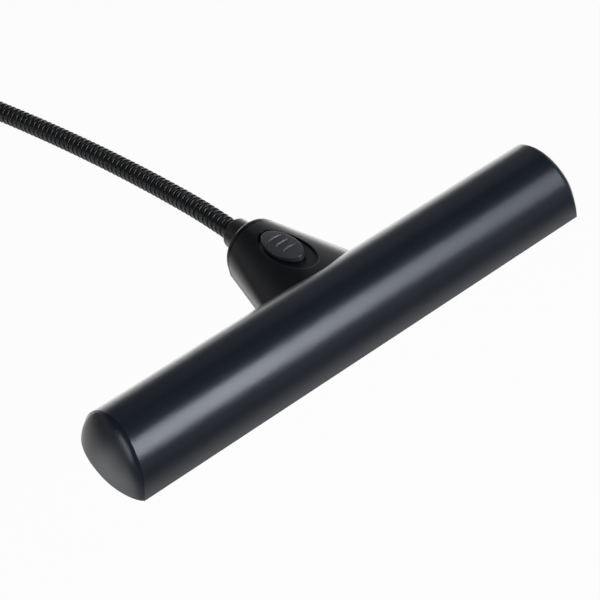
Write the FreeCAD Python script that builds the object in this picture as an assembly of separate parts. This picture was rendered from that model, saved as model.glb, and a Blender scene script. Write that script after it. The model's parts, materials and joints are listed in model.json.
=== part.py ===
# Clip-on music stand light: a long half-oval LED head on a ribbed gooseneck,
# which rises from a spring clip that also holds three small battery cells.
#
# Frame: the origin is the middle of the fixed grip pad's face, +Z is up, the desk plate
# stands in the XZ plane between the jaws, and the head reaches out towards -Y.
# The head has a frame of its own (X along the head, +Y to the neck, Z = 0 in the plane of
# its open side), and so has the neck (X, S out along the neck, Z), which is pitched down.

import FreeCAD, Part
import math
import os

V = FreeCAD.Vector
os.makedirs("parts", exist_ok=True)

# driving dimensions (mm)
# Head shell: half an ellipse in section, its end planes leaning inwards towards the top.
head_length = 199.3
head_width = 36.28
head_height = 21.93
head_wall = 1.8
end_lean = 10.75          # degrees

# End caps.
cap_inset = 0.3
cap_rim_radius = 1.1
cap_edge_height = 1.68
cap_dome_radius = 40.5
cap_dome_centre_z = 2.0
cap_wall = 1.8
cap_spigot_length = 4.0
cap_spigot_wall = 1.4

# Lens, reflector and LED board.
lens_thickness = 1.5
lens_recess = 0.6
reflector_thickness = 0.8
reflector_height = 4.7
reflector_top_width = 18.0
board_thickness = 1.2
board_width = 15.0
board_end_space = 5.5
led_pitch = 21.0
led_count = 9
led_size = 3.5
led_height = 0.7
led_window = 5.6
board_screw_x = (-73.5, -31.5, 31.5, 73.5)
board_screw_length = 7.0
board_post_radius = 2.6
board_screw_radius = 1.0
lead_x = -5.0
lead_z = 14.0

# Neck: a D section that flares towards the head.
neck_pitch = 19.34        # degrees below level
neck_front = 2.0          # where the neck starts, inside the head's wall
neck_length = 52.06
neck_rear_half_width = 12.75
neck_flare = 13.5         # degrees each side
neck_bottom = 3.05
neck_top = 19.95
neck_shoulder = 7.2       # where the upright sides end and the arch begins
neck_haunch = 42.0        # degrees that each haunch arc turns through
neck_wall = 2.0
neck_chin_start = 26.0
neck_chin_end = 17.0
neck_chin_rise = 3.15
neck_ring_thickness = 1.95
neck_groove_width = 0.5
neck_groove_depth = 0.7
neck_rim_radius = 0.55

# Thumb switch in its oval pocket.
pocket_centre = 25.97
pocket_half_length = 16.57
pocket_half_width = 7.10
pocket_floor = 17.9
pocket_floor_thickness = 1.6
pocket_rim_radius = 0.3
thumb_centre = 28.81
thumb_half_length = 11.56
thumb_half_width = 5.52
thumb_top = 20.42
thumb_edge = 0.35
thumb_travel = 5.5
thumb_ridge_pitch = 4.7
thumb_ridge_length = 6.4
thumb_ridge_radius = 9.0
thumb_ridge_width = 0.55
thumb_ridge_height = 0.35
thumb_ridge_count = 3
stem_length = 3.0
stem_width = 2.4
switch_length = 15.0
switch_width = 7.5
switch_height = 5.2
switch_well_depth = 2.6
switch_board_thickness = 1.2
switch_board_width = 16.0
switch_board_front = 21.0
switch_board_gap = 0.66    # from its rear end to the ferrule's thread
switch_post_radius = 2.1
switch_post_x = 6.2
switch_post_front = 24.0
switch_post_from_rear = 4.5
lead_bend_s = 22.6
switch_gap_below_floor = 2.0

# Neck cover and its screws.
cover_front = 26.8
cover_land = 3.86         # floor left between the cover and the rear wall
cover_thickness = 2.0
cover_screw_s = 34.0
cover_screw_x = 11.0
cover_screw_length = 8.0
cover_post_radius = 2.4
shade_screw_x = 10.0
shade_screw_z = 12.4
shade_screw_length = 13.0
shade_seat_s = 8.8
shade_seat_radius = 3.2
shade_lug_radius = 3.0

# Gooseneck.
gooseneck_radius = 4.0
gooseneck_valley_radius = 3.5
gooseneck_bore_radius = 1.7
gooseneck_axis_z = 10.94
rib_pitch = 2.9
ribs_per_link = 8
link_count = 12
joint_gap = 1.22
sweep_radius = 728.0
sweep_turn = 13.85        # degrees, the gentle sideways and upward curve behind the head
sweep_side = 70.0         # degrees, how far its plane is rolled from upright to -X
drop_radius = 95.0
lead_diameter = 2.6
head_lead_diameter = 1.6

# Ferrules and nuts.
ferrule_collar_radius = 6.0
ferrule_collar_length = 9.7
ferrule_edge = 0.35
ferrule_socket_depth = 4.4
ferrule_thread_radius = 3.8
ferrule_bore_radius = 1.75
nut_flats = 10.0
nut_height = 3.0
thread_past_nut = 0.8
base_sleeve_radius = 5.3
base_sleeve_length = 7.0

# Battery base.
housing_width = 41.0
housing_front = 1.5
housing_back = 25.0
housing_bottom = -12.0
housing_height = 72.0
housing_wall = 2.0
lid_thickness = 2.5
lid_screw_length = 9.0
boss_radius = 7.0
boss_height = 3.0
gooseneck_axis_y = 13.0
cell_diameter = 10.5
cell_length = 44.5
cell_spacing = 11.2
cell_tip_radius = 1.9
cell_tip_height = 0.8
contact_spring_height = 7.7
contact_thickness = 0.5
shelf_thickness = 2.3
window_width = 32.0
tongue_thickness = 1.0
tongue_reach = 2.0
lip_thickness = 1.1
grip_rib_count = 5
grip_rib_pitch = 2.2
jack_bore_radius = 1.8
jack_bore_depth = 12.0
jack_barrel_radius = 3.5
jack_body = 9.0
jack_y = 11.5
power_board_thickness = 1.2
board_standoff = 0.8

# Spring clip.
pad_width = 24.0
pad_height = 18.0
pad_thickness = 1.5
grip_gap = 0.4
jaw_plate = 2.4
jaw_width = 32.0
jaw_cheek = 2.0
throat_depth = 6.0
throat_start = 9.5
pivot_y = -5.5
pivot_z = 24.0
pivot_radius = 1.5
pivot_eye_radius = 4.5
ear_inner = 10.0
ear_thickness = 3.0
thumb_plate_top_y = -22.0
thumb_plate_top_z = 60.0
spring_wire = 1.2
spring_mean_radius = 3.2
spring_pitch = 1.75
spring_turns = 5.5
spring_leg = 12.0

# Screws.
small_screw_radius = 0.9
screw_radius = 1.1
shade_screw_radius = 1.5
lead_hole_gap = 0.7

# Clearances and fits.
seat_gap = 0.05           # between fixed pieces with curved seats
fit_gap = 0.15            # between fixed pieces that slip into each other
screw_gap = 0.10          # around a screw in its hole
moving_gap = 0.30         # between pieces that move past each other
pin_fit = 0.08            # radial, round the jaw's pivot pin

# derived values
head_a = head_width / 2
head_b = head_height
head_half = head_length / 2
lean = math.tan(math.radians(end_lean))
inner_a = head_a - head_wall
inner_b = head_b - head_wall
lens_bottom = lens_recess
lens_top = lens_bottom + lens_thickness
reflector_bottom = lens_top + fit_gap
reflector_top = reflector_bottom + reflector_height
board_bottom = reflector_top + seat_gap
board_top = board_bottom + board_thickness
housing_top = housing_bottom + housing_height
boss_top = housing_top + lid_thickness + boss_height
axis_x = 0.0
ring_front = neck_length - neck_ring_thickness
wall_rear = ring_front - neck_groove_width
cavity_rear = wall_rear - neck_wall
thread_start = cavity_rear - nut_height - thread_past_nut
switch_board_rear = thread_start - switch_board_gap
cover_rear = cavity_rear - cover_land
half_w = housing_width / 2
in_w = half_w - housing_wall
in_front = housing_front + housing_wall
lip_front = housing_back - lip_thickness
tongue_room = tongue_thickness + 2 * moving_gap
cavity_back = lip_front - tongue_room
floor_top = housing_bottom + housing_wall
cell_bottom = floor_top + contact_spring_height
cell_top = cell_bottom + cell_length
shelf_bottom = cell_top + contact_thickness + fit_gap
shelf_top = shelf_bottom + shelf_thickness
power_board_bottom = shelf_top + board_standoff
power_board_top = power_board_bottom + power_board_thickness


# helpers
def save(shape, name):
    """Write one node, after checking that it is made of valid solids."""
    solids = shape.Solids
    if not solids or not shape.isValid():
        raise ValueError("bad shape: " + name)
    out = solids[0] if len(solids) == 1 else Part.makeCompound(solids)
    out.exportStep("parts/" + name + ".step")
    volume = sum(s.Volume for s in solids)
    print("%-24s solids %2d  volume %9.1f" % (name, len(solids), volume))
    return out


def box(x0, x1, y0, y1, z0, z1):
    return Part.makeBox(x1 - x0, y1 - y0, z1 - z0, V(x0, y0, z0))


def rod(radius, start, axis, length):
    return Part.makeCylinder(radius, length, start, axis)


def fuse(*shapes):
    out = shapes[0].multiFuse(list(shapes[1:]))
    return out.removeSplitter()


def prism(points, direction):
    wire = Part.makePolygon(list(points) + [points[0]])
    return Part.Face(wire).extrude(direction)


def side_plate(points, x0, x1):
    """A plate from (y, z) points, between two X planes."""
    return prism([V(x0, y, z) for y, z in points], V(x1 - x0, 0, 0))


def ellipse_edge(a, b, x, start, end):
    """Part of an ellipse in a YZ plane, with semi-axes a along Y and b along Z."""
    if a >= b:
        curve = Part.Ellipse(V(x, a, 0), V(x, 0, b), V(x, 0, 0))
        return Part.ArcOfEllipse(curve, start, end).toShape()
    curve = Part.Ellipse(V(x, 0, b), V(x, -a, 0), V(x, 0, 0))
    return Part.ArcOfEllipse(curve, start - math.pi / 2, end - math.pi / 2).toShape()


def half_oval(a, b, x0, x1, floor=0.0):
    """A bar with half an ellipse as its section, flat at the height of the floor."""
    edge = ellipse_edge(a, b, x0, 0, math.pi)
    ends = [edge.Vertexes[0].Point, edge.Vertexes[-1].Point]
    wire = Part.Wire([edge, Part.LineSegment(ends[1], ends[0]).toShape()])
    bar = Part.Face(wire).extrude(V(x1 - x0, 0, 0))
    if floor > 0:
        bar = bar.cut(box(x0 - 1, x1 + 1, -a - 1, a + 1, -1, floor))
    return bar


def end_block(side, shift):
    """A large block whose face is the leaning end plane, moved outwards by the shift."""
    block = Part.makeBox(80, 120, 120, V(0, -60, -60))
    block.rotate(V(0, 0, 0), V(0, 1, 0), -end_lean)
    block.translate(V(head_half + shift / math.cos(math.radians(end_lean)), 0, 0))
    if side < 0:
        block = block.mirror(V(0, 0, 0), V(1, 0, 0))
    return block


# frames and the gooseneck's path
pitch = math.radians(neck_pitch)


def neck_to_head(x, s, z):
    y = s * math.cos(pitch) + z * math.sin(pitch)
    return V(x, y, -s * math.sin(pitch) + z * math.cos(pitch))


neck_x = V(1, 0, 0)
neck_s = neck_to_head(0, 1, 0)
neck_z = neck_to_head(0, 0, 1)
down = V(0, 0, -1)
link_length = ribs_per_link * rib_pitch
joint_step = link_length + joint_gap

# The first stretch is a gentle arc in a rolled plane, the second an arc down to upright,
# and the last a straight run into the base.
roll = math.radians(sweep_side)
sweep_normal = neck_x * -math.sin(roll) + neck_z * math.cos(roll)
sweep_angle = math.radians(sweep_turn)
sweep_length = sweep_radius * sweep_angle
sweep_end_dir = neck_s * math.cos(sweep_angle) + sweep_normal * math.sin(sweep_angle)
drop_angle = sweep_end_dir.getAngle(down)
drop_length = drop_radius * drop_angle
drop_normal = down - sweep_end_dir * sweep_end_dir.dot(down)
drop_normal.normalize()
end_stub = link_length / 2
ribbed_length = 2 * end_stub + link_count * joint_step + joint_gap
path_length = ferrule_collar_length + ribbed_length + base_sleeve_length
straight_length = path_length - sweep_length - drop_length

path_start = neck_to_head(0, neck_length, gooseneck_axis_z)
sweep_end = (path_start + neck_s * (sweep_radius * math.sin(sweep_angle))
             + sweep_normal * (sweep_radius * (1 - math.cos(sweep_angle))))
drop_end = (sweep_end + sweep_end_dir * (drop_radius * math.sin(drop_angle))
            + drop_normal * (drop_radius * (1 - math.cos(drop_angle))))
path_end = drop_end + down * straight_length
head_move = V(axis_x, gooseneck_axis_y, boss_top) - path_end


def path_at(s):
    """Point and direction on the gooseneck's centre line, s mm from the neck's rear face."""
    if s <= 0:
        point = path_start + neck_s * s
        direction = neck_s
    elif s <= sweep_length:
        t = s / sweep_radius
        point = (path_start + neck_s * (sweep_radius * math.sin(t))
                 + sweep_normal * (sweep_radius * (1 - math.cos(t))))
        direction = neck_s * math.cos(t) + sweep_normal * math.sin(t)
    elif s <= sweep_length + drop_length:
        t = (s - sweep_length) / drop_radius
        point = (sweep_end + sweep_end_dir * (drop_radius * math.sin(t))
                 + drop_normal * (drop_radius * (1 - math.cos(t))))
        direction = sweep_end_dir * math.cos(t) + drop_normal * math.sin(t)
    else:
        point = drop_end + down * (s - sweep_length - drop_length)
        direction = V(down)
    return point + head_move, direction


def path_edges(before, after):
    """Tangent edges of the centre line, from before the rear face to past its base end."""
    first = path_at(-before)[0]
    start = path_at(0)[0]
    edges = [Part.LineSegment(first, start).toShape()]
    mid = path_at(sweep_length / 2)[0]
    bend = path_at(sweep_length)[0]
    edges.append(Part.Arc(start, mid, bend).toShape())
    mid = path_at(sweep_length + drop_length / 2)[0]
    foot = path_at(sweep_length + drop_length)[0]
    edges.append(Part.Arc(bend, mid, foot).toShape())
    last = path_at(path_length + after)[0]
    edges.append(Part.LineSegment(foot, last).toShape())
    return edges


def ring_at(s, radius):
    """A circle square to the centre line, its X axis kept steady along the path."""
    point, direction = path_at(s)
    steady = neck_x - direction * neck_x.dot(direction)
    steady.normalize()
    circle = Part.Circle(point, direction, radius)
    circle.XAxis = steady
    return Part.Wire([circle.toShape()])


def ribbed_tube(s0, ribs, lead_in=0.0, lead_out=0.0):
    """Ribs and bore from s0 along the path, with plain ends where they enter a ferrule."""
    rings = []
    if lead_in > 0:
        rings.append(ring_at(s0 - lead_in, gooseneck_valley_radius))
    for k in range(ribs):
        base = s0 + k * rib_pitch
        if k == 0:
            rings.append(ring_at(base, gooseneck_valley_radius))
        rings.append(ring_at(base + 0.20 * rib_pitch, gooseneck_radius))
        rings.append(ring_at(base + 0.72 * rib_pitch, gooseneck_radius))
        rings.append(ring_at(base + rib_pitch, gooseneck_valley_radius))
    if lead_out > 0:
        rings.append(ring_at(s0 + ribs * rib_pitch + lead_out, gooseneck_valley_radius))
    outer = Part.makeLoft(rings, True, True)
    first = s0 - lead_in
    total = ribs * rib_pitch + lead_in + lead_out
    steps = max(2, ribs)
    holes = [ring_at(first + total * k / steps, gooseneck_bore_radius) for k in range(steps + 1)]
    return outer.cut(Part.makeLoft(holes, True, True))


def tube_along(edges, radius, start, direction):
    wire = Part.Wire(edges)
    section = Part.Wire([Part.Circle(start, direction, radius).toShape()])
    tube = wire.makePipeShell([section], True, False)
    length = sum(e.Length for e in edges)
    share = tube.Volume / (math.pi * radius * radius * length)
    print("tube length %.1f, volume over section times length %.4f" % (length, share))
    return tube


def rounded_path(points):
    """Straight runs joined by tangent arcs, as large as the runs beside them allow."""
    edges = []
    last = points[0]
    for k in range(1, len(points) - 1):
        back = points[k - 1] - points[k]
        ahead = points[k + 1] - points[k]
        turn = math.pi - back.getAngle(ahead)
        reach = 0.45 * min(back.Length, ahead.Length)
        radius = reach / math.tan(turn / 2)
        back.normalize()
        ahead.normalize()
        a = points[k] + back * reach
        b = points[k] + ahead * reach
        inward = back + ahead
        inward.normalize()
        corner = math.hypot(reach, radius)
        mid = points[k] + inward * (corner - radius)
        edges.append(Part.LineSegment(last, a).toShape())
        edges.append(Part.Arc(a, mid, b).toShape())
        print("bend radius %.2f" % radius)
        last = b
    edges.append(Part.LineSegment(last, points[-1]).toShape())
    return edges


def to_world(shape):
    """Put a shape of the head's frame in its place."""
    out = shape.copy()
    out.translate(head_move)
    return out


def neck_placed(shape):
    """Put a shape of the neck's frame (X, S, Z) in the head's frame."""
    out = shape.copy()
    out.rotate(V(0, 0, 0), V(1, 0, 0), -neck_pitch)
    return out


def put_neck(shape):
    return to_world(neck_placed(shape))


# head: shell, caps, lens, light
shell = half_oval(head_a, head_b, -head_half - 5, head_half + 5)
hollow = half_oval(inner_a, inner_b, -head_half - 6, head_half + 6)
hollow = hollow.fuse(box(-head_half - 6, head_half + 6, -inner_a, inner_a, -1, 0.01))
shell = shell.cut(hollow)
for side in (-1, 1):
    shell = shell.cut(end_block(side, 0.0))

# Bosses under the crown carry the LED board.
boss_hole = board_screw_radius + screw_gap
crown = half_oval(head_a - head_wall / 2, head_b - head_wall / 2, -head_half, head_half)
for x in board_screw_x:
    post = rod(board_post_radius, V(x, 0, board_top), V(0, 0, 1), head_b).common(crown)
    shell = shell.fuse(post)
    hole = rod(boss_hole, V(x, 0, board_top - 1), V(0, 0, 1), 1 + board_screw_length)
    shell = shell.cut(hole)

# Two seats inside the back wall take the screws that hold the neck.
neck_crown = half_oval(head_a - head_wall / 2, head_b - head_wall / 2, -30, 30)
for x in (-shade_screw_x, shade_screw_x):
    seat = neck_placed(rod(shade_seat_radius, V(x, shade_seat_s, shade_screw_z), V(0, 1, 0), head_b))
    shell = shell.fuse(seat.common(neck_crown))
    hole = neck_placed(rod(shade_screw_radius + screw_gap, V(x, shade_seat_s - 1, shade_screw_z),
                           V(0, 1, 0), shade_screw_length))
    shell = shell.cut(hole)
lead_hole_radius = head_lead_diameter / 2 + lead_hole_gap
lead_hole = neck_placed(rod(lead_hole_radius, V(lead_x, 0, lead_z), V(0, 1, 0), lead_bend_s))
shell = shell.cut(lead_hole).removeSplitter()
save(to_world(shell), "head_shell")


def end_cap(side):
    """A domed cap with a rounded rim outside and a spigot inside the shell."""
    outer = half_oval(head_a - cap_inset, head_b - cap_inset, head_half - 12, head_half + 20)
    tilt = math.radians(end_lean)
    ring_radius = head_a - cap_inset
    back_off = math.sqrt(cap_dome_radius ** 2 - ring_radius ** 2)
    centre = V(cap_edge_height - back_off, 0, cap_dome_centre_z)
    centre = V(head_half + centre.x * math.cos(tilt) - centre.z * math.sin(tilt), 0,
               centre.x * math.sin(tilt) + centre.z * math.cos(tilt))
    dome = Part.makeSphere(cap_dome_radius, centre)
    body = outer.common(dome).common(end_block(1, seat_gap))
    rim = [e for e in body.Edges if on_rim(e, centre)]
    body = body.makeFillet(cap_rim_radius, rim)
    inset = head_wall + fit_gap
    spigot = half_oval(head_a - inset, head_b - inset, head_half - 20, head_half + 12,
                       lens_top + fit_gap)
    stop = end_block(1, -cap_spigot_length)
    spigot = spigot.common(stop).common(dome)
    spigot = spigot.cut(end_block(1, seat_gap + cap_wall / 2))
    inset = inset + cap_spigot_wall
    room = half_oval(head_a - inset, head_b - inset, head_half - 20, head_half + 12,
                     lens_top + fit_gap + cap_spigot_wall)
    room = room.common(Part.makeSphere(cap_dome_radius - cap_wall, centre))
    body = body.fuse(spigot).cut(room).removeSplitter()
    if side < 0:
        body = body.mirror(V(0, 0, 0), V(1, 0, 0))
    return body


def on_rim(edge, centre):
    """True for the curved edge where the dome meets the cap's side."""
    if edge.Length < 20:
        return False
    middle = edge.valueAt((edge.FirstParameter + edge.LastParameter) / 2)
    on_dome = abs((middle - centre).Length - cap_dome_radius) < 0.01
    return on_dome and middle.z > 1.0


save(to_world(end_cap(-1)), "end_cap_left")
save(to_world(end_cap(1)), "end_cap_right")

lens_half = head_half - lean * lens_top - fit_gap
lens_edge = inner_a * math.sqrt(1 - (lens_top / inner_b) ** 2) - fit_gap
lens = box(-lens_half, lens_half, -lens_edge, lens_edge, lens_bottom, lens_top)
save(to_world(lens), "lens")

tray_half = head_half - cap_spigot_length - lean * reflector_top - 1.0
tray_foot = lens_edge - 0.6
tray_crown = reflector_top_width / 2
skin = reflector_thickness
tray = side_plate([(-tray_foot, reflector_bottom), (-tray_crown, reflector_top),
                   (tray_crown, reflector_top), (tray_foot, reflector_bottom),
                   (tray_foot - 1.7 * skin, reflector_bottom),
                   (tray_crown - 0.5 * skin, reflector_top - skin),
                   (-tray_crown + 0.5 * skin, reflector_top - skin),
                   (-tray_foot + 1.7 * skin, reflector_bottom)], -tray_half, tray_half)
led_x = [led_pitch * (k - (led_count - 1) / 2) for k in range(led_count)]
half_window = led_window / 2
for x in led_x:
    tray = tray.cut(box(x - half_window, x + half_window, -half_window, half_window,
                        reflector_top - 2, reflector_top + 1))
for x in board_screw_x:
    tray = tray.cut(rod(boss_hole, V(x, 0, reflector_top - 2), V(0, 0, 1), 3))
save(to_world(tray), "reflector")

board_half = tray_half - board_end_space + 1.0
board = box(-board_half, board_half, -board_width / 2, board_width / 2, board_bottom, board_top)
for x in board_screw_x:
    board = board.cut(rod(boss_hole, V(x, 0, board_bottom - 1), V(0, 0, 1), 4))
save(to_world(board), "led_board")

leds = [box(x - led_size / 2, x + led_size / 2, -led_size / 2, led_size / 2,
            board_bottom - led_height, board_bottom) for x in led_x]
save(to_world(Part.makeCompound(leds)), "leds")


def pan_screw(at, axis, head_radius, head_height, shank_radius, length, slot=0.4):
    """A screw whose head's bearing face is at the point and whose shank runs along the axis."""
    head = rod(head_radius, at - axis * head_height, axis, head_height)
    shank = rod(shank_radius, at, axis, length)
    screw = head.fuse(shank)
    across = axis.cross(V(1, 0, 0))
    if across.Length < 0.5:
        across = axis.cross(V(0, 0, 1))
    across.normalize()
    other = axis.cross(across)
    other.normalize()
    for way, cross in ((across, other), (other, across)):
        reach = way * head_radius * 0.55
        thick = cross * 0.25
        bottom = at - axis * head_height
        corners = [bottom - reach - thick, bottom + reach - thick,
                   bottom + reach + thick, bottom - reach + thick]
        screw = screw.cut(prism(corners, axis * slot))
    return screw


screws = [pan_screw(V(x, 0, reflector_top - skin), V(0, 0, 1), 1.9, 1.2, 1.0,
                    board_screw_length) for x in board_screw_x]
save(to_world(Part.makeCompound(screws)), "led_board_screws")


# neck
def neck_half_width(s):
    return neck_rear_half_width + (neck_length - s) * math.tan(math.radians(neck_flare))


def neck_section(s, inset=0.0):
    """D-shaped wire at s: flat bottom, upright sides and a three-arc crown."""
    a = neck_half_width(s) - inset
    low = neck_bottom + inset
    spring_line = neck_shoulder
    b = neck_top - inset - spring_line
    angle = math.radians(neck_haunch)
    difference = (a - b) / (math.cos(angle) + math.sin(angle) - 1)
    haunch_radius = a - difference * math.cos(angle)
    c2 = V(a - haunch_radius, 0, spring_line)
    joint = c2 + V(math.cos(angle), 0, math.sin(angle)) * haunch_radius
    start = V(a, 0, spring_line)
    half = (start - c2) + (joint - c2)
    half.normalize()
    middle = c2 + half * haunch_radius
    shift = V(0, s, 0)
    left = [V(-p.x, 0, p.z) for p in (joint, middle, start)]
    edges = [Part.LineSegment(V(-a, s, low), V(a, s, low)).toShape(),
             Part.LineSegment(V(a, s, low), start + shift).toShape(),
             Part.Arc(start + shift, middle + shift, joint + shift).toShape(),
             Part.Arc(joint + shift, V(0, s, neck_top - inset), left[0] + shift).toShape(),
             Part.Arc(left[0] + shift, left[1] + shift, left[2] + shift).toShape(),
             Part.LineSegment(left[2] + shift, V(-a, s, low)).toShape()]
    return Part.Wire(edges)


def neck_loft(start, end, inset=0.0):
    return Part.makeLoft([neck_section(start, inset), neck_section(end, inset)], True, True)


def chin_block(floor):
    """What is taken off under the neck's front, where its underside steps up at a slope."""
    points = [(-1.0, neck_bottom - 1), (-1.0, floor + neck_chin_rise),
              (neck_chin_end, floor + neck_chin_rise), (neck_chin_start, floor),
              (neck_chin_start, neck_bottom - 1)]
    return side_plate(points, -60, 60)


def oval_prism(centre, half_length, half_width, z0, z1):
    """An upright oval bar, long along S."""
    curve = Part.Ellipse(V(0, centre + half_length, z0), V(-half_width, centre, z0),
                         V(0, centre, z0))
    return Part.Face(Part.Wire([curve.toShape()])).extrude(V(0, 0, z1 - z0))


housing = neck_loft(neck_front, wall_rear).cut(chin_block(neck_bottom))
saddle = half_oval(head_a + seat_gap, head_b + seat_gap, -60, 60)
saddle = saddle.fuse(box(-60, 60, -head_a - 5, head_a, -30, 0.2))
saddle.rotate(V(0, 0, 0), V(1, 0, 0), neck_pitch)
cavity = neck_loft(neck_front, cavity_rear, neck_wall).cut(chin_block(neck_bottom + neck_wall))
front_wall = half_oval(head_a + neck_wall, head_b + neck_wall, -60, 60)
front_wall = front_wall.fuse(box(-60, 60, -head_a - 5, head_a + neck_wall, -30, 0.2))
front_wall.rotate(V(0, 0, 0), V(1, 0, 0), neck_pitch)
cavity = cavity.cut(front_wall)
floor_low = pocket_floor - pocket_floor_thickness
pad = oval_prism(pocket_centre, pocket_half_length + neck_wall, pocket_half_width + neck_wall,
                 floor_low, neck_top + 5)
cavity = cavity.cut(pad)

# Posts that hang from the crown: three for the switch board, two for the cover, and two
# lugs for the screws from the head.
switch_top = floor_low - switch_gap_below_floor
switch_bottom = switch_top - switch_height
board2_bottom = switch_bottom - switch_board_thickness
switch_post_rear = switch_board_rear - switch_post_from_rear
switch_posts = ((switch_post_front, switch_post_x), (switch_post_rear, switch_post_x),
                (switch_post_rear, -switch_post_x))
for s, x in switch_posts:
    post = rod(switch_post_radius, V(x, s, switch_bottom), V(0, 0, 1), neck_top)
    cavity = cavity.cut(post)
cover_top = neck_bottom + cover_thickness
for x in (-cover_screw_x, cover_screw_x):
    post = rod(cover_post_radius, V(x, cover_screw_s, cover_top), V(0, 0, 1), neck_top)
    cavity = cavity.cut(post)
lug_end = shade_seat_s + shade_screw_length + 0.8
for x in (-shade_screw_x, shade_screw_x):
    lug = rod(shade_lug_radius, V(x, 0, shade_screw_z), V(0, 1, 0), lug_end)
    cavity = cavity.cut(lug)
housing = housing.cut(cavity)


def cover_plate(grow, z0, z1):
    wires = []
    for z in (z0, z1):
        points = []
        for s, sign in ((cover_front - grow, -1), (cover_front - grow, 1),
                        (cover_rear + grow, 1), (cover_rear + grow, -1)):
            points.append(V(sign * (neck_half_width(s) - neck_wall + grow - fit_gap), s, z))
        wires.append(Part.makePolygon(points + [points[0]]))
    return Part.makeLoft(wires, True, True)


def on_pocket_rim(edge):
    """True for the edge where the pocket's wall meets the neck's crown."""
    start, end = edge.ParameterRange
    for k in range(5):
        point = edge.valueAt(start + (end - start) * k / 4)
        along = (point.y - pocket_centre) / pocket_half_length
        across = point.x / pocket_half_width
        if abs(along ** 2 + across ** 2 - 1) > 0.002 or point.z < pocket_floor + 0.2:
            return False
    return True


housing = housing.cut(cover_plate(fit_gap, neck_bottom - 1, cover_top))
housing = housing.cut(oval_prism(pocket_centre, pocket_half_length, pocket_half_width,
                                 pocket_floor, neck_top + 5))
rim = [e for e in housing.Edges if on_pocket_rim(e)]
housing = housing.makeFillet(pocket_rim_radius, rim)
slot_front = thumb_centre - thumb_travel - stem_length / 2 - moving_gap
slot_rear = thumb_centre + stem_length / 2 + moving_gap
slot_side = stem_width / 2 + moving_gap
housing = housing.cut(box(-slot_side, slot_side, slot_front, slot_rear, floor_low - 1,
                          pocket_floor + 1))
for s, x in switch_posts:
    housing = housing.cut(rod(small_screw_radius + screw_gap, V(x, s, switch_bottom - 1),
                              V(0, 0, 1), switch_height + 1.3))
for x in (-cover_screw_x, cover_screw_x):
    housing = housing.cut(rod(screw_radius + screw_gap, V(x, cover_screw_s, cover_top - 1),
                              V(0, 0, 1), cover_screw_length + 1))
for x in (-shade_screw_x, shade_screw_x):
    housing = housing.cut(rod(shade_screw_radius + screw_gap, V(x, 0, shade_screw_z), V(0, 1, 0),
                              lug_end - 0.8))
housing = housing.cut(rod(lead_hole_radius, V(lead_x, 0, lead_z), V(0, 1, 0), lead_bend_s + 1.4))
housing = housing.cut(rod(ferrule_thread_radius + screw_gap, V(0, cavity_rear - 1, gooseneck_axis_z),
                          V(0, 1, 0), neck_wall + 2))
housing = housing.cut(saddle).removeSplitter()
save(put_neck(housing), "neck_housing")

ring = neck_loft(ring_front, neck_length - neck_rim_radius)
rim = []
for k in range(5):
    turn = math.radians(22.5 * k)
    rim.append(neck_section(neck_length - neck_rim_radius * (1 - math.sin(turn)),
                            neck_rim_radius * (1 - math.cos(turn))))
rounding = Part.makeLoft(rim, True, True)
spigot = neck_loft(wall_rear, ring_front + 0.2, neck_groove_depth)
ring = ring.fuse(rounding).fuse(spigot)
ring = ring.cut(rod(ferrule_thread_radius + screw_gap, V(0, wall_rear - 1, gooseneck_axis_z),
                    V(0, 1, 0), neck_ring_thickness + 3)).removeSplitter()
save(put_neck(ring), "neck_end_ring")

cover = cover_plate(0.0, neck_bottom, cover_top)
for x in (-cover_screw_x, cover_screw_x):
    cover = cover.cut(rod(screw_radius + screw_gap, V(x, cover_screw_s, neck_bottom - 1),
                          V(0, 0, 1), cover_thickness + 2))
    cover = cover.cut(rod(2.2, V(x, cover_screw_s, neck_bottom - 1), V(0, 0, 1), 2.2))
save(put_neck(cover), "neck_cover")
screws = [pan_screw(V(x, cover_screw_s, neck_bottom + 1.2), V(0, 0, 1), 2.0, 1.1, screw_radius,
                    cover_screw_length)
          for x in (-cover_screw_x, cover_screw_x)]
save(put_neck(Part.makeCompound(screws)), "neck_cover_screws")
screws = [pan_screw(V(x, shade_seat_s, shade_screw_z), V(0, 1, 0), 2.5, 1.8, shade_screw_radius,
                    shade_screw_length)
          for x in (-shade_screw_x, shade_screw_x)]
save(put_neck(Part.makeCompound(screws)), "shade_screws")

# thumb switch
thumb_low = pocket_floor + moving_gap
thumb = oval_prism(thumb_centre, thumb_half_length, thumb_half_width, thumb_low, thumb_top)
top_edges = [e for e in thumb.Edges if abs(e.CenterOfMass.z - thumb_top) < 0.01 and e.Length > 20]
thumb = thumb.makeFillet(thumb_edge, top_edges)
ridge_first = thumb_centre + 0.6 - thumb_ridge_pitch * (thumb_ridge_count - 1) / 2
for k in range(thumb_ridge_count):
    crest = ridge_first + k * thumb_ridge_pitch
    centre = V(0, crest - thumb_ridge_radius, thumb_top - 0.2)
    spread = math.degrees(thumb_ridge_length / thumb_ridge_radius / 2)
    big = Part.makeCylinder(thumb_ridge_radius + thumb_ridge_width / 2, thumb_ridge_height + 0.2,
                            centre, V(0, 0, 1), 2 * spread)
    small = Part.makeCylinder(thumb_ridge_radius - thumb_ridge_width / 2,
                              thumb_ridge_height + 2, centre - V(0, 0, 1), V(0, 0, 1), 360)
    big.rotate(centre, V(0, 0, 1), 90 - spread)
    thumb = thumb.fuse(big.cut(small))
stem_tip = switch_top - switch_well_depth + moving_gap
stem = box(-stem_width / 2, stem_width / 2, thumb_centre - stem_length / 2,
           thumb_centre + stem_length / 2, stem_tip, thumb_low + 0.1)
thumb = thumb.fuse(stem).removeSplitter()
save(put_neck(thumb), "thumb_slider")

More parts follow.
